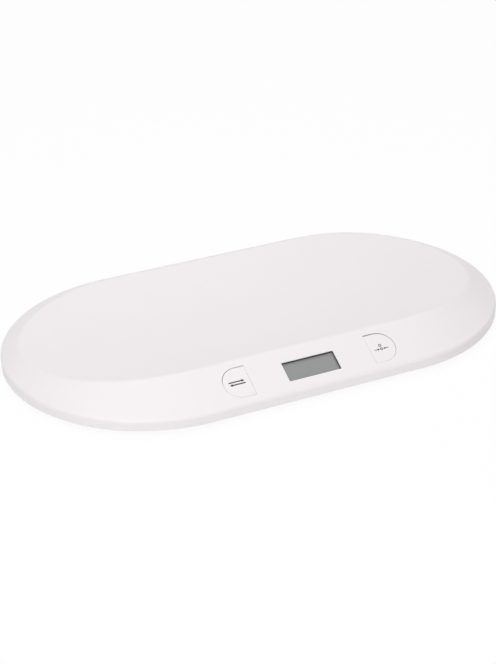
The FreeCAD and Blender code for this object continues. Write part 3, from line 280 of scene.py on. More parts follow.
def loop(middle, radii, stroke, low, high, opening=0.0, steps=40):
    """A bar round an ellipse, whose point at each turn is the radii times its cosine and sine.

    It is closed, or open at its top by an angle."""
    if opening:
        turn = np.linspace(np.pi / 2 + opening / 2, 5 * np.pi / 2 - opening / 2, steps)
    else:
        turn = np.linspace(0, 2 * np.pi, steps, endpoint=False)
    round_ = np.column_stack([np.cos(turn), np.sin(turn)])
    sides = round_ * radii[::-1]
    sides = sides / np.linalg.norm(sides, axis=1, keepdims=True)
    return ribbon(middle + round_ * radii, sides, np.full(steps, stroke), low, high,
                  "flat" if opening else "joined")


def moved(shell, place):
    """A shell with a 4 by 4 matrix applied to its points."""
    points, faces = shell
    place = np.array(place)
    return points @ place[:3, :3].T + place[:3, 3], faces


def solid(name, shells, sharp_from=35):
    """One mesh from closed shells: welded, facing outwards and smooth but for its sharp edges."""
    points = np.vstack([shell[0] for shell in shells])
    starts = np.cumsum([0] + [len(shell[0]) for shell in shells])
    faces = [[int(start) + corner for corner in face]
             for start, shell in zip(starts, shells) for face in shell[1]]
    mesh = bpy.data.meshes.new(name)
    mesh.from_pydata(points.tolist(), [], faces)
    shape = bmesh.new()
    shape.from_mesh(mesh)
    bmesh.ops.remove_doubles(shape, verts=shape.verts, dist=0.0005 * MM)
    bmesh.ops.recalc_face_normals(shape, faces=shape.faces)
    shape.to_mesh(mesh)
    shape.free()
    mesh.polygons.foreach_set("use_smooth", np.ones(len(mesh.polygons), bool))
    mesh.set_sharp_from_angle(angle=math.radians(sharp_from))
    piece = bpy.data.objects.new(name, mesh)
    bpy.context.scene.collection.objects.link(piece)
    return piece


def shell_of(piece):
    """A finished mesh read back as a shell, so that it can be repeated."""
    mesh = piece.data
    points = np.empty(len(mesh.vertices) * 3)
    mesh.vertices.foreach_get("co", points)
    faces = [list(face.vertices) for face in mesh.polygons]
    bpy.data.objects.remove(piece)
    return points.reshape(-1, 3), faces


def cut(piece, tool):
    """Take a tool out of a piece."""
    boolean = piece.modifiers.new("recess", "BOOLEAN")
    boolean.operation = "DIFFERENCE"
    boolean.solver = "EXACT"
    boolean.object = tool
    ready = piece.evaluated_get(bpy.context.evaluated_depsgraph_get())
    mesh = bpy.data.meshes.new_from_object(ready)
    piece.modifiers.clear()
    piece.data = mesh
    bpy.data.objects.remove(tool)


def finished(name):
    """A finish by its name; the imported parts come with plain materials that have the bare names."""
    return bpy.data.materials["finish_" + name]


def fit(piece, body, slot, finish, *replaced):
    """Dress a piece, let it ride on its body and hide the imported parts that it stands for."""
    piece.data.materials.clear()
    piece.data.materials.append(finished(finish))
    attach(piece, body)
    if replaced:
        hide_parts(*replaced)


# ---- finishes: shader groups that several materials share, then the materials

def add(tree, kind, inputs=None, **settings):
    """A shader node; inputs gives each socket its value or the output that feeds it."""
    node = tree.nodes.new("ShaderNode" + kind)
    for name, setting in settings.items():
        setattr(node, name, setting)
    for name, source in (inputs or {}).items():
        if isinstance(source, bpy.types.NodeSocket):
            tree.links.new(source, node.inputs[name])
        else:
            node.inputs[name].default_value = source
    return node


def shader_group(name, inputs, result):
    """An empty shader group with named sockets; returns its tree, its inputs and its result's input."""
    tree = bpy.data.node_groups.new(name, "ShaderNodeTree")
    tree.interface.new_socket("Vector", in_out="INPUT", socket_type="NodeSocketVector")
    for socket, default in inputs.items():
        kind = "NodeSocketFloat" if isinstance(default, float) else "NodeSocketColor"
        tree.interface.new_socket(socket, in_out="INPUT", socket_type=kind).default_value = default
    kind = "NodeSocketColor" if result == "Color" else "NodeSocketFloat"
    tree.interface.new_socket(result, in_out="OUTPUT", socket_type=kind)
    source = tree.nodes.new("NodeGroupInput")
    return tree, source.outputs, tree.nodes.new("NodeGroupOutput").inputs[result]


def make_tone_drift():
    """Color made a little lighter and darker in soft patches."""
    tree, given, result = shader_group("tone_drift", {"Color": (1, 1, 1, 1), "Amount": 0.02,
                                                      "Scale": 30.0}, "Color")
    patches = add(tree, "TexNoise", {"Vector": given["Vector"], "Scale": given["Scale"], "Detail": 3})
    centred = add(tree, "Math", {0: patches.outputs["Fac"], 1: 0.5}, operation="SUBTRACT")
    swing = add(tree, "Math", {0: centred.outputs[0], 1: given["Amount"], 2: 1},
                operation="MULTIPLY_ADD")
    toned = add(tree, "HueSaturation", {"Color": given["Color"], "Value": swing.outputs[0]})
    tree.links.new(toned.outputs["Color"], result)


def make_sheen_drift():
    """Roughness that wanders a little, as handling and flow leave it."""
    tree, given, result = shader_group("sheen_drift", {"Roughness": 0.4, "Amount": 0.1,
                                                       "Scale": 60.0}, "Roughness")
    smears = add(tree, "TexNoise", {"Vector": given["Vector"], "Scale": given["Scale"], "Detail": 4,
                                    "Distortion": 0.4})
    centred = add(tree, "Math", {0: smears.outputs["Fac"], 1: 0.5}, operation="SUBTRACT")
    swing = add(tree, "Math", {0: centred.outputs[0], 1: given["Amount"], 2: given["Roughness"]},
                operation="MULTIPLY_ADD", use_clamp=True)
    tree.links.new(swing.outputs[0], result)


def make_mould_grain():
    """Height of a moulded face: soft waves with fine pits from the mould's texture."""
    tree, given, result = shader_group("mould_grain", {"Scale": 600.0, "Pits": 0.5}, "Height")
    waves = add(tree, "TexNoise", {"Vector": given["Vector"], "Scale": given["Scale"], "Detail": 2})
    finer = add(tree, "Math", {0: given["Scale"], 1: 2.6}, operation="MULTIPLY")
    pits = add(tree, "TexVoronoi", {"Vector": given["Vector"], "Scale": finer.outputs[0]},
               feature="SMOOTH_F1")
    mixed = add(tree, "Mix", {"Factor": given["Pits"], 2: waves.outputs["Fac"],
                              3: pits.outputs["Distance"]})
    tree.links.new(mixed.outputs[0], result)


def make_brushed_lines():
    """Height of fine lines that run along X."""
    tree, given, result = shader_group("brushed_lines", {"Scale": 900.0, "Stretch": 0.02}, "Height")
    stretch = add(tree, "CombineXYZ", {0: given["Stretch"], 1: 1, 2: 1})
    drawn = add(tree, "VectorMath", {0: given["Vector"], 1: stretch.outputs[0]}, operation="MULTIPLY")
    lines = add(tree, "TexNoise", {"Vector": drawn.outputs[0], "Scale": given["Scale"], "Detail": 4})
    tree.links.new(lines.outputs["Fac"], result)


def make_spots():
    """Mask of small round spots, one in each cell of a scattered pattern."""
    tree, given, result = shader_group("spots", {"Scale": 200.0, "Size": 0.2}, "Mask")
    cells = add(tree, "TexVoronoi", {"Vector": given["Vector"], "Scale": given["Scale"]}, feature="F1")
    inside = add(tree, "Math", {0: cells.outputs["Distance"], 1: given["Size"]}, operation="LESS_THAN")
    tree.links.new(inside.outputs[0], result)


class Surface:
    """A material under way: its tree, its shader and the coordinates that its patterns follow."""

    def __init__(self, name, roughness, metallic=0.0, specular=0.5):
        material = bpy.data.materials.new("finish_" + name)
        material.use_nodes = True
        self.tree = material.node_tree
        self.shader = self.tree.nodes["Principled BSDF"].inputs
        self.shader["Metallic"].default_value = metallic
        self.shader["Specular IOR Level"].default_value = specular
        self.place = add(self.tree, "TexCoord").outputs["Object"]
        self.roughness = roughness

    def group(self, name, **inputs):
        """The result of a shared group, placed here with its own values."""
        node = add(self.tree, "Group", node_tree=bpy.data.node_groups[name])
        self.tree.links.new(self.place, node.inputs["Vector"])
        for socket, source in inputs.items():
            if isinstance(source, bpy.types.NodeSocket):
                self.tree.links.new(source, node.inputs[socket])
            else:
                node.inputs[socket].default_value = source
        return node.outputs[0]

    def feed(self, socket, source):
        self.tree.links.new(source, self.shader[socket])

    def tone(self, shade, amount, scale):
        """Base colour that drifts; shade is a colour or the output that gives it."""
        if not isinstance(shade, bpy.types.NodeSocket):
            shade = (*shade, 1)
        self.feed("Base Color", self.group("tone_drift", Color=shade, Amount=amount, Scale=scale))

    def sheen(self, amount, scale):
        self.feed("Roughness", self.group("sheen_drift", Roughness=self.roughness, Amount=amount,
                                          Scale=scale))

    def bump(self, height, depth):
        """Relief of a given depth in metres."""
        relief = add(self.tree, "Bump", {"Strength": 1, "Distance": depth, "Height": height})
        self.feed("Normal", relief.outputs["Normal"])

    def mix(self, factor, first, second):
        """A colour between two colours."""
        node = add(self.tree, "Mix", {"Factor": factor}, data_type="RGBA")
        for socket, shade in ((node.inputs[6], first), (node.inputs[7], second)):
            if isinstance(shade, bpy.types.NodeSocket):
                self.tree.links.new(shade, socket)
            else:
                socket.default_value = (*shade, 1)
        return node.outputs[2]


def moulding(name, shade, roughness, grain, depth, pits=0.3, tone=0.015):
    """Moulded plastic: a faint drift of tone and sheen, and the grain of its mould."""
    surface = Surface(name, roughness)
    surface.tone(shade, tone, 25)
    surface.sheen(0.12, 40)
    surface.bump(surface.group("mould_grain", Scale=grain, Pits=pits), depth)


def rubber(name, shade, grain, depth):
    """Matt rubber or foam, pitted, with paler dust in patches."""
    surface = Surface(name, 0.82, specular=0.3)
    dust = surface.group("mould_grain", Scale=120.0, Pits=0.2)
    paler = [min(1, 2.2 * part + 0.02) for part in shade]
    surface.tone(surface.mix(dust, shade, paler), 0.2, 200)
    surface.sheen(0.15, 150)
    surface.bump(surface.group("mould_grain", Scale=grain, Pits=0.9), depth)


def metal(name, shade, roughness, lines, depth, blotch=0.1):
    """Plated or drawn metal: fine lines and blotches of tone."""
    surface = Surface(name, roughness, metallic=1.0)
    surface.tone(shade, blotch, 350)
    surface.sheen(0.18, 300)
    surface.bump(surface.group("brushed_lines", Scale=lines, Stretch=0.03), depth)


def display_film(name, shade):
    """Polarising film on the blank display: fine sparkle of the reflector under a smooth face."""
    surface = Surface(name, 0.3)
    sparkle = surface.group("mould_grain", Scale=2500.0, Pits=0.5)
    darker = [0.94 * part for part in shade]
    surface.tone(surface.mix(sparkle, darker, shade), 0.03, 20)
    surface.sheen(0.06, 90)
    surface.shader["Coat Weight"].default_value = 0.35
    surface.shader["Coat Roughness"].default_value = 0.12
    surface.bump(surface.group("mould_grain", Scale=900.0, Pits=0.1), 0.002 * MM)


def circuit_board(name, shade):
    """Solder mask over copper lines, with tinned pads."""
    surface = Surface(name, 0.3)
    turn = add(surface.tree, "Mapping", {"Vector": surface.place, "Rotation": (-BEVEL, 0, 0)})
    surface.place = turn.outputs["Vector"]
    nets = add(surface.tree, "TexVoronoi", {"Vector": surface.place, "Scale": 260},
               feature="F1", distance="CHEBYCHEV")
    steps = add(surface.tree, "Math", {0: nets.outputs["Distance"], 1: 0.16}, operation="PINGPONG")
    lines = add(surface.tree, "Math", {0: steps.outputs[0], 1: 0.08}, operation="GREATER_THAN")
    raised = [1.9 * part for part in shade]
    masked = surface.mix(lines.outputs[0], shade, raised)
    pads = surface.group("spots", Scale=170.0, Size=0.13)
    surface.tone(surface.mix(pads, masked, (0.62, 0.60, 0.55)), 0.12, 120)
    surface.feed("Metallic", pads)
    surface.sheen(0.1, 200)
    surface.bump(lines.outputs[0], 0.03 * MM)


def resin(name):
    """Glossy black drop of cured resin with a slack skin."""
    surface = Surface(name, 0.18)
    surface.tone((0.012, 0.012, 0.014), 0.3, 300)
    surface.sheen(0.1, 250)
    surface.bump(surface.group("mould_grain", Scale=320.0, Pits=0.1), 0.05 * MM)


def battery_sleeve(name, shade):
    """Printed sleeve: dark, with a pale band round the positive end and two thin rings."""
    surface = Surface(name, 0.32)
    along = add(surface.tree, "Attribute", attribute_name="along").outputs["Fac"]
    band = add(surface.tree, "Math", {0: along, 1: 0.8}, operation="GREATER_THAN")
    ring = add(surface.tree, "Math", {0: along, 1: 0.74, 2: 0.008}, operation="COMPARE")
    printed = surface.mix(band.outputs[0], shade, (0.55, 0.56, 0.58))
    surface.tone(surface.mix(ring.outputs[0], printed, (0.55, 0.56, 0.58)), 0.08, 90)
    surface.sheen(0.1, 120)
    surface.shader["Coat Weight"].default_value = 0.3
    surface.bump(surface.group("mould_grain", Scale=500.0, Pits=0.1), 0.01 * MM)


def insulation(name, shade):
    """Smooth soft sheath of a lead."""
    surface = Surface(name, 0.42)
    surface.tone(shade, 0.1, 150)
    surface.sheen(0.12, 200)
    surface.bump(surface.group("mould_grain", Scale=700.0, Pits=0.2), 0.01 * MM)


LEADS = {
    "battery_lead_plus": ("red_lead", (0.45, 0.02, 0.018)),
    "battery_lead_minus": ("black_lead", (0.015, 0.015, 0.016)),
    "left_switch_lead": ("white_lead", (0.62, 0.61, 0.59)),
    "right_switch_lead": ("white_lead", (0.62, 0.61, 0.59)),
}
CELL_LEAD = ("grey_lead", (0.22, 0.225, 0.23))


class SCALE_OT_finishes(bpy.types.Operator):
    """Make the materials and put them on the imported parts"""
    bl_idname = "scale.finishes"
    bl_label = "Finishes"

    def execute(self, context):
        shades = context.scene.scale_finishes
        make_tone_drift()
        make_sheen_drift()
        make_mould_grain()
        make_brushed_lines()
        make_spots()
        for name in ("shell", "key"):
            moulding(name, shades.shell, roughness=0.4, grain=420.0, depth=0.003 * MM, pits=0.15)
        moulding("base", shades.base, roughness=0.52, grain=1500.0, depth=0.03 * MM, pits=0.6,
                 tone=0.03)
        moulding("foot", shades.base, roughness=0.5, grain=1500.0, depth=0.02 * MM, pits=0.6,
                 tone=0.03)
        # near black; on the key carriers this black is painted shade in the slits round the keys
        moulding("holder", (0.02, 0.02, 0.022), roughness=0.45, grain=1200.0, depth=0.02 * MM,
                 pits=0.5, tone=0.1)
        moulding("chip", (0.016, 0.016, 0.017), roughness=0.5, grain=2500.0, depth=0.02 * MM,
                 pits=0.7, tone=0.15)
        moulding("ink", shades.ink, roughness=0.5, grain=2000.0, depth=0.003 * MM, tone=0.2)
        rubber("rubber", shades.rubber, grain=1100.0, depth=0.05 * MM)
        rubber("foam", (0.012, 0.012, 0.013), grain=1600.0, depth=0.2 * MM)
        metal("plated", (0.70, 0.68, 0.64), roughness=0.2, lines=1500.0, depth=0.004 * MM)
        metal("steel", (0.52, 0.52, 0.53), roughness=0.34, lines=1100.0, depth=0.01 * MM)
        metal("screw", (0.56, 0.56, 0.57), roughness=0.3, lines=2000.0, depth=0.006 * MM,
              blotch=0.25)
        display_film("display", shades.film)
        circuit_board("board", shades.mask)
        resin("resin")
        battery_sleeve("battery", shades.sleeve)
        for name, shade in dict.fromkeys((CELL_LEAD, *LEADS.values())):
            insulation(name, shade)
        for part in frame["record"]["subparts"]:
            node, slot = part["node"], part["material_slot"]
            finish = LEADS.get(node, CELL_LEAD)[0] if slot == "wire" else slot
            piece = frame["nodes"][node]
            piece.data.materials.clear()
            piece.data.materials.append(finished(finish))
        return {"FINISHED"}


def key_middle(sizes, side):
    """Middle of a key on the bevel, halfway from its flat side to the end of its half circle."""
    return Vector((side * (sizes.flat + (sizes.straight + sizes.height / 2) / 2), sizes.rise, 0))


def key_place(sizes, side):
    """Where a key rests in its opening: a little down, towards the display and, for one, turned."""
    middle = key_middle(sizes, side)
    sag, turn = (sizes.unit_sag, 0) if side < 0 else (sizes.power_sag, sizes.power_turn)
    rest = Matrix.Translation(middle + Vector((-side * sizes.drift, -sag, 0)))
    return ON_BEVEL @ rest @ Matrix.Rotation(turn, 4, "Z") @ Matrix.Translation(-middle)


class SCALE_OT_keys(bpy.types.Operator):
    """Build the two keys: white caps on black carriers, whose black is painted shade in the slits round
    the keys
    """
    bl_idname = "scale.keys"
    bl_label = "Keys"

    def execute(self, context):
        sizes = context.scene.scale_keys
        for side, word in ((-1, "unit"), (1, "power")):
            place, body = key_place(sizes, side), word + "_key"
            cap = [moved(shape, place) for shape in self.cap(sizes, side)]
            fit(solid(word + "_cap", cap), body, "key", "key", word + "_button")
            # the carrier's black finish is painted shade that darkens the slits round the key
            carrier = solid(word + "_carrier", [moved(self.carrier(sizes, side), place)])
            fit(carrier, body, "holder", "holder")
        return {"FINISHED"}

    def lofted(self, sizes, side, levels, ends):
        """A key's outline grown and set at each level, given as pairs of growth and height."""
        growths, heights = zip(*levels)
        return stacked([dee(sizes, side, grow) for grow in growths], heights, ends)

    def cap(self, sizes, side):
        """A face with a quarter round at its edge, over a plate, a stem and a web."""
        edge, under, end = sizes.edge, -sizes.plate, -sizes.stem_end
        turn = np.linspace(0, math.pi / 2, 6)
        levels = [(-3 * edge, 0), *zip(edge * (np.sin(turn) - 1), edge * (np.cos(turn) - 1)),
                  (0, -sizes.skirt), (-sizes.lap, -sizes.skirt), (-sizes.lap, under)]
        stem = np.array([(0, under), (sizes.stem, under), (sizes.stem, end + edge),
                         (sizes.stem - edge, end), (0, end)])
        reach = sizes.height / 2 - sizes.plate
        web = ribbon(np.array([(0, -reach), (0, reach)]), np.array([(1, 0), (1, 0)]),
                     [sizes.web] * 2, -sizes.flange_depth, under)
        middle = Matrix.Translation(key_middle(sizes, side))
        return [self.lofted(sizes, side, levels, "flat"), moved(turned(stem), middle),
                moved(web, middle)]

    def carrier(self, sizes, side):
        """A ring under the cap's side with a flange that stops against the tray's wall; it is black as
        painted shade, so that the slits round the key look dark.
        """
        # the ring stands a hair inside the cap's side
        wall, reach = -0.1 * sizes.edge, sizes.flange_reach
        top, high, under = -sizes.skirt, -sizes.flange_depth, -sizes.plate
        low = high - sizes.flange_height
        levels = [(wall, top), (wall, high), (reach, high), (reach, low), (-sizes.plate, low),
                  (-sizes.plate, under), (-sizes.lap, under), (-sizes.lap, top)]
        return self.lofted(sizes, side, levels, "joined")


class SCALE_OT_marks(bpy.types.Operator):
    """Print the marks on the two keys"""
    bl_idname = "scale.marks"
    bl_label = "Key marks"

    def execute(self, context):
        sizes = context.scene.scale_marks
        low, high = -3 * sizes.ink, sizes.ink
        half, line = sizes.arrow_length / 2, sizes.line_gap / 2
        arrows = [arrow((-side * half, side * line), (side * half, side * line), sizes.arrow_stroke,
                        sizes.arrow_head, low, high) for side in (1, -1)]
        self.print_on("unit_mark", arrows, sizes.unit_place, -1)

        stroke, half = sizes.small_stroke, sizes.zero_width / 2
        # a power ring over a zero, and two arrows that point at the zero
        upper, lower = 0.79 * sizes.line_gap, -0.61 * sizes.line_gap
        tall = 0.44 * sizes.line_gap
        shapes = [loop(np.array((0, upper)), np.array((tall, tall)), stroke, low, high,
                       opening=math.radians(80)),
                  ribbon(np.array([(0, upper), (0, upper + 1.25 * tall)]),
                         np.array([(1, 0), (1, 0)]), [stroke, stroke], low, high),
                  loop(np.array((0, lower)), np.array((0.7 * tall, tall)), stroke, low, high)]
        for side in (1, -1):
            shapes.append(arrow((side * half, lower), (side * 1.2 * tall, lower), stroke,
                                1.8 * tall, low, high))
        self.print_on("power_mark", shapes, sizes.power_place, 1)
        return {"FINISHED"}

    def print_on(self, name, shapes, along, side):
        """Lay flat shapes on a key, about a point on the bevel."""
        keys = bpy.context.scene.scale_keys
        place = key_place(keys, side) @ Matrix.Translation((along, keys.rise, 0))
        body = "unit_key" if side < 0 else "power_key"
        fit(solid(name, [moved(shape, place) for shape in shapes]), body, "holder", "ink")


class SCALE_OT_display(bpy.types.Operator):
    """Lay the polarising film on the display glass"""
    bl_idname = "scale.display"
    bl_label = "Display film"

    def execute(self, context):
        sizes = context.scene.scale_display
        # the film's edge is cut a little slanting: shares of its thickness in and up
        insets = [share * sizes.thickness for share in (0, 0.1, 0.3)]
        heights = [share * sizes.thickness - sizes.depth for share in (0, 0.7, 1)]
        outlines = [round_rectangle(sizes.width - 2 * inset, sizes.height - 2 * inset, sizes.corner)
                    for inset in insets]
        place = ON_BEVEL @ Matrix.Translation((0, sizes.rise, 0))
        film = solid("display_film", [moved(stacked(outlines, heights), place)])
        fit(film, "scale_body", "display", "display")
        return {"FINISHED"}


class SCALE_OT_screws(bpy.types.Operator):
    """Turn the cross-head screws that hold the base in the tray"""
    bl_idname = "scale.screws"
    bl_label = "Cover screws"

    def execute(self, context):
        sizes = context.scene.scale_screws
        low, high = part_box("cover_screws")
        one = self.screw(sizes, high.z - low.z)
        x = sizes.end_centre + sizes.ring * math.cos(sizes.turn)
        y = sizes.ring * math.sin(sizes.turn)
        beside = math.sqrt(sizes.ring ** 2 - (sizes.beside_key - sizes.end_centre) ** 2)
        places = [(side * a, end * b) for side in (-1, 1) for end in (-1, 1)
                  for a, b in ((x, y), (sizes.beside_key, beside))]
        places += [(0, sizes.ring), (0, -sizes.front)]
        shells = []
        for number, (a, b) in enumerate(places):
            # each screw was driven home at a turn of its own
            turn = Matrix.Rotation(number * 2.4, 4, "Z")
            shells.append(moved(one, Matrix.Translation((a, b, low.z)) @ turn))
        fit(solid("case_screws", shells, sharp_from=30), "scale_body", "screw", "screw", "cover_screws")
        return {"FINISHED"}

    def screw(self, sizes, whole):
        """One screw, head down: a domed head, a threaded shank and a point.

        The thread adds to the root's radius a triangle wave of height over pitch less turn."""
        start = sizes.head_height
        crown, edge, steps, flank = 0.45 * start, 0.2 * start, 60, 0.3
        turn = np.linspace(0, math.pi / 2, 7)
        dome = np.column_stack([sizes.head * np.sin(turn), crown * (1 - np.cos(turn))])
        thread = np.linspace(start, whole - sizes.tip, steps)
        point = np.linspace(1, 0, 12)[1:]
        profile = np.vstack([
            dome, [(sizes.head, start - edge), (sizes.head - edge, start), (sizes.root, start)],
            np.column_stack([np.full(steps, sizes.root), thread]),
            np.column_stack([sizes.root * point, whole - sizes.tip * point]),
        ])

        def ridge(turn, height):
            phase = (height / sizes.pitch - turn / (2 * np.pi)) % 1
            fade = (np.clip((height - start) / sizes.pitch, 0, 1)
                    * np.clip((whole - height) / sizes.tip, 0, 1))
            crest = np.clip(1 - np.abs(phase - 0.5) / flank, 0, 1)
            return (sizes.shank - sizes.root) * crest * fade

        body = solid("screw", [turned(profile, 28, ridge)])
        wide, thin = sizes.recess, 0.26 * sizes.recess
        cross = np.array([(wide, thin), (thin, thin), (thin, wide)])
        quarter = np.array([(0, -1), (1, 0)])
        outline = [cross]
        for _ in range(3):
            outline.append(outline[-1] @ quarter.T)
        outline = np.vstack(outline)
        tapered = [outline * grow for grow in (1.15, 1, 0.55)]
        cut(body, solid("cross", [stacked(tapered, (-0.2 * start, 0, sizes.recess_depth))]))
        return shell_of(body)


class SCALE_OT_batteries(bpy.types.Operator):
    """Turn the three batteries with their sleeves and ends"""
    bl_idname = "scale.batteries"
    bl_label = "Batteries"

    def execute(self, context):
        sizes = context.scene.scale_batteries
        for number in (1, 2, 3):
            node = f"battery_{number}"
            low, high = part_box(node)
            radius = (high.z - low.z) / 2
            middle = Vector((0, (low.y + high.y) / 2, (low.z + high.z) / 2))
            points = np.array([vertex.co for vertex in frame["nodes"][node].data.vertices])
            ends = points[points[:, 0] > high.x - sizes.nub_height / 2]
            away = np.hypot(ends[:, 1] - middle.y, ends[:, 2] - middle.z)
            positive = 1 if away.max() < radius / 2 else -1
            profile = self.profile(sizes, radius, high.x - low.x)
            start = low.x if positive > 0 else high.x
            place = Matrix.Translation((start, middle.y, middle.z)) @ Matrix.Rotation(
                positive * math.pi / 2, 4, "Y")
            piece = solid(f"cell_{number}", [moved(turned(profile, 48), place)], sharp_from=50)
            fit(piece, "scale_body", "battery", "battery", node)
            self.print_sleeve(piece, sizes, start, positive, high.x - low.x, middle, radius)
        return {"FINISHED"}

    def profile(self, sizes, radius, whole):
        """Radius and height from the negative end up: plate, rim, sleeve, rim, groove and nub."""
        body = whole - sizes.nub_height
        turn = np.linspace(0, math.pi / 2, 6)
        shoulder, rim = sizes.shoulder, radius - sizes.rim
        lower = np.column_stack([radius - shoulder * (1 - np.sin(turn)), shoulder * (1 - np.cos(turn))])
        upper = np.column_stack([lower[::-1, 0], body - lower[::-1, 1]])
        step = 0.25 * MM
        return np.vstack([
            [(0, step), (rim - step, step), (rim, 0)], lower, upper,
            [(rim, body), (rim - step, body - step), (sizes.nub + 2 * step, body - step),
             (sizes.nub, body), (sizes.nub, whole - step), (sizes.nub - step, whole), (0, whole)],
        ])

    def print_sleeve(self, piece, sizes, start, positive, whole, middle, radius):
        """Give the bare ends their metal, and every point its share of the way to the positive end."""
        mesh = piece.data
        mesh.materials.append(finished("plated"))
        points = np.empty(len(mesh.vertices) * 3)
        mesh.vertices.foreach_get("co", points)
        points = points.reshape(-1, 3)
        share = positive * (points[:, 0] - start) / whole
        mesh.attributes.new("along", "FLOAT", "POINT").data.foreach_set("value", share)
        centres = np.empty(len(mesh.polygons) * 3)
        mesh.polygons.foreach_get("center", centres)
        centres = centres.reshape(-1, 3)
        away = np.hypot(centres[:, 1] - middle.y, centres[:, 2] - middle.z)
        mesh.polygons.foreach_set("material_index", (away < radius - sizes.rim).astype(np.int32))


class SCALE_OT_lid_grip(bpy.types.Operator):
    """Raise the grip ridges on the battery lid"""
    bl_idname = "scale.lid_grip"
    bl_label = "Lid grip"

    def execute(self, context):
        sizes = context.scene.scale_lid
        low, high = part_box("battery_door")
        underside = TRAY_LOW.z
        # each ring is half an ellipse closed by its flat, and falls to a tenth at both ends
        turn = np.linspace(0, np.pi, 9)
        along = np.linspace(-1, 1, 25)
        grow = np.sqrt(np.clip(1 - along ** 6, 0.01, 1))[:, None]
        shells = []
        for number in range(sizes.ridges):
            x = high.x - sizes.inset - number * sizes.spacing + grow * np.cos(turn) * sizes.width / 2
            z = underside - grow * np.sin(turn) * sizes.height
            y = np.repeat((low.y + high.y) / 2 + along[:, None] * sizes.span / 2, len(turn), axis=1)
            shells.append(skin(np.stack([x, y, z], axis=-1)))
        fit(solid("lid_grip", shells), "battery_lid", "base", "base")
        return {"FINISHED"}


def looking(azimuth, elevation, distance):
    """The place of something that looks at the origin from an azimuth, an elevation and a distance."""
    back = Vector((math.sin(azimuth) * math.cos(elevation), -math.cos(azimuth) * math.cos(elevation),
                   math.sin(elevation)))
    return Matrix.Translation(back * distance) @ (-back).to_track_quat("-Z", "Y").to_matrix().to_4x4()


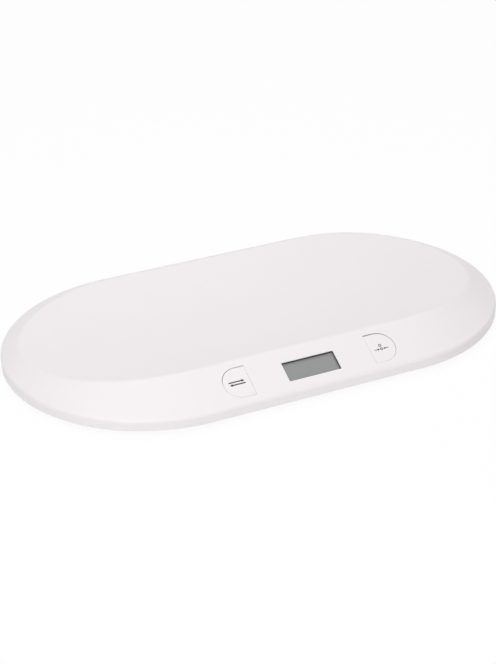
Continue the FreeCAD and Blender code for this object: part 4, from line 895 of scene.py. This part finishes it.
class SCALE_OT_studio(bpy.types.Operator):
    """Set up the floor, the lamps and the camera"""
    bl_idname = "scale.studio"
    bl_label = "Studio"

    def execute(self, context):
        studio = context.scene.scale_studio
        self.make_floor(studio)
        self.make_surround(context.scene, studio)
        for name, azimuth, elevation in (("key_lamp", -45, 55), ("low_lamp", 0, 30),
                                         ("back_lamp", 135, 55), ("rear_lamp", 180, 55)):
            self.make_lamp(name, getattr(studio, name), azimuth, elevation, studio)
        self.make_camera(context.scene, studio)
        context.scene.view_settings.view_transform = "Standard"
        return {"FINISHED"}

    def make_floor(self, studio):
        """A white floor, open under the tray, that is seen from above and lets light in from below.

        Its rings are the tray's outline drawn in, and a wide circle round it."""
        inset, reach = 25 * MM, 8
        turn = np.linspace(0, 2 * np.pi, 96, endpoint=False)
        arc = np.column_stack([np.cos(turn), np.sin(turn)])
        radius = TRAY_HIGH.y - inset
        inner = arc * radius + np.sign(arc[:, :1].round(6)) * (TRAY_HIGH.x - TRAY_HIGH.y, 0)
        points, faces = stacked((arc * reach, inner), (0, 0), "open")
        mesh = bpy.data.meshes.new("floor")
        mesh.from_pydata(points.tolist(), [], faces)
        floor = bpy.data.objects.new("floor", mesh)
        bpy.context.scene.collection.objects.link(floor)
        material = bpy.data.materials.new("floor")
        material.use_nodes = True
        tree = material.node_tree
        tree.nodes.clear()
        share = add(tree, "Math", {0: self.seen(tree), 1: studio.seen_white}, operation="MULTIPLY")
        lit = add(tree, "BsdfDiffuse", {"Color": (0.97, 0.97, 0.97, 1)})
        white = add(tree, "Emission", {"Color": (1, 1, 1, 1), "Strength": 1})
        face = add(tree, "MixShader", {0: share.outputs[0], 1: lit.outputs[0], 2: white.outputs[0]})
        clear = add(tree, "BsdfTransparent")
        back = add(tree, "NewGeometry").outputs["Backfacing"]
        whole = add(tree, "MixShader", {0: back, 1: face.outputs[0], 2: clear.outputs[0]})
        add(tree, "OutputMaterial", {"Surface": whole.outputs[0]})
        mesh.materials.append(material)

    def make_surround(self, scene, studio):
        """Even light from all round that is seen as white; it comes up through the open floor too."""
        world = bpy.data.worlds.new("surround")
        scene.world = world
        world.use_nodes = True
        tree = world.node_tree
        height = add(tree, "SeparateXYZ", {0: add(tree, "TexCoord").outputs["Generated"]}).outputs["Z"]
        light = add(tree, "MapRange", {"Value": height, "From Min": -0.1, "From Max": 0.1,
                                       "To Min": studio.ground, "To Max": studio.sky})
        strength = add(tree, "MapRange", {"Value": self.seen(tree), "To Min": light.outputs[0],
                                          "To Max": 1})
        background = tree.nodes["Background"].inputs
        background["Color"].default_value = (1, 1, 1, 1)
        tree.links.new(strength.outputs[0], background["Strength"])

    def seen(self, tree):
        """One for rays that show the surroundings, seen or as a reflection, and else nought."""
        path = add(tree, "LightPath").outputs
        mirrored = add(tree, "Math", {0: path["Is Camera Ray"], 1: path["Is Glossy Ray"]},
                       operation="ADD")
        return add(tree, "Math", {0: mirrored.outputs[0], 1: path["Is Transmission Ray"]},
                   operation="ADD", use_clamp=True).outputs[0]

    def make_lamp(self, name, power, azimuth, elevation, studio):
        """A square soft lamp that faces the tray, from an azimuth and an elevation in degrees."""
        lamp = bpy.data.lights.new(name, "AREA")
        lamp.energy = power
        lamp.size = studio.lamp_size
        holder = bpy.data.objects.new(name, lamp)
        bpy.context.scene.collection.objects.link(holder)
        holder.matrix_world = looking(math.radians(azimuth), math.radians(elevation),
                                      studio.lamp_distance)

    def make_camera(self, scene, studio):
        camera = bpy.data.objects.new("camera", bpy.data.cameras.new("camera"))
        scene.collection.objects.link(camera)
        camera.data.lens = studio.lens
        camera.data.clip_end = 50
        camera.matrix_world = (Matrix.Translation(studio.target)
                               @ looking(studio.azimuth, studio.elevation, studio.distance)
                               @ Matrix.Rotation(studio.roll, 4, "Z"))
        scene.camera = camera


class SCALE_PT_panel(bpy.types.Panel):
    """Lists what the scale is finished with"""
    bl_label = "Baby scale"
    bl_idname = "SCALE_PT_panel"
    bl_space_type = "VIEW_3D"
    bl_region_type = "UI"
    bl_category = "Scale"

    def draw(self, context):
        for operator in OPERATORS:
            self.layout.operator(operator.bl_idname)


GROUPS = {
    "scale_keys": KeySizes,
    "scale_marks": MarkSizes,
    "scale_display": DisplaySizes,
    "scale_screws": ScrewSizes,
    "scale_batteries": BatterySizes,
    "scale_lid": LidSizes,
    "scale_finishes": Finishes,
    "scale_studio": StudioSettings,
}
OPERATORS = (SCALE_OT_finishes, SCALE_OT_keys, SCALE_OT_marks, SCALE_OT_display, SCALE_OT_screws,
             SCALE_OT_batteries, SCALE_OT_lid_grip, SCALE_OT_studio)
CLASSES = (*GROUPS.values(), *OPERATORS, SCALE_PT_panel)


def register():
    for kind in CLASSES:
        bpy.utils.register_class(kind)
    for name, group in GROUPS.items():
        setattr(bpy.types.Scene, name, bpy.props.PointerProperty(type=group))


def unregister():
    for name in GROUPS:
        delattr(bpy.types.Scene, name)
    for kind in reversed(CLASSES):
        bpy.utils.unregister_class(kind)


def main():
    register()
    for operator in OPERATORS:
        category, name = operator.bl_idname.split(".")
        getattr(getattr(bpy.ops, category), name)()


if __name__ == "__main__":
    main()
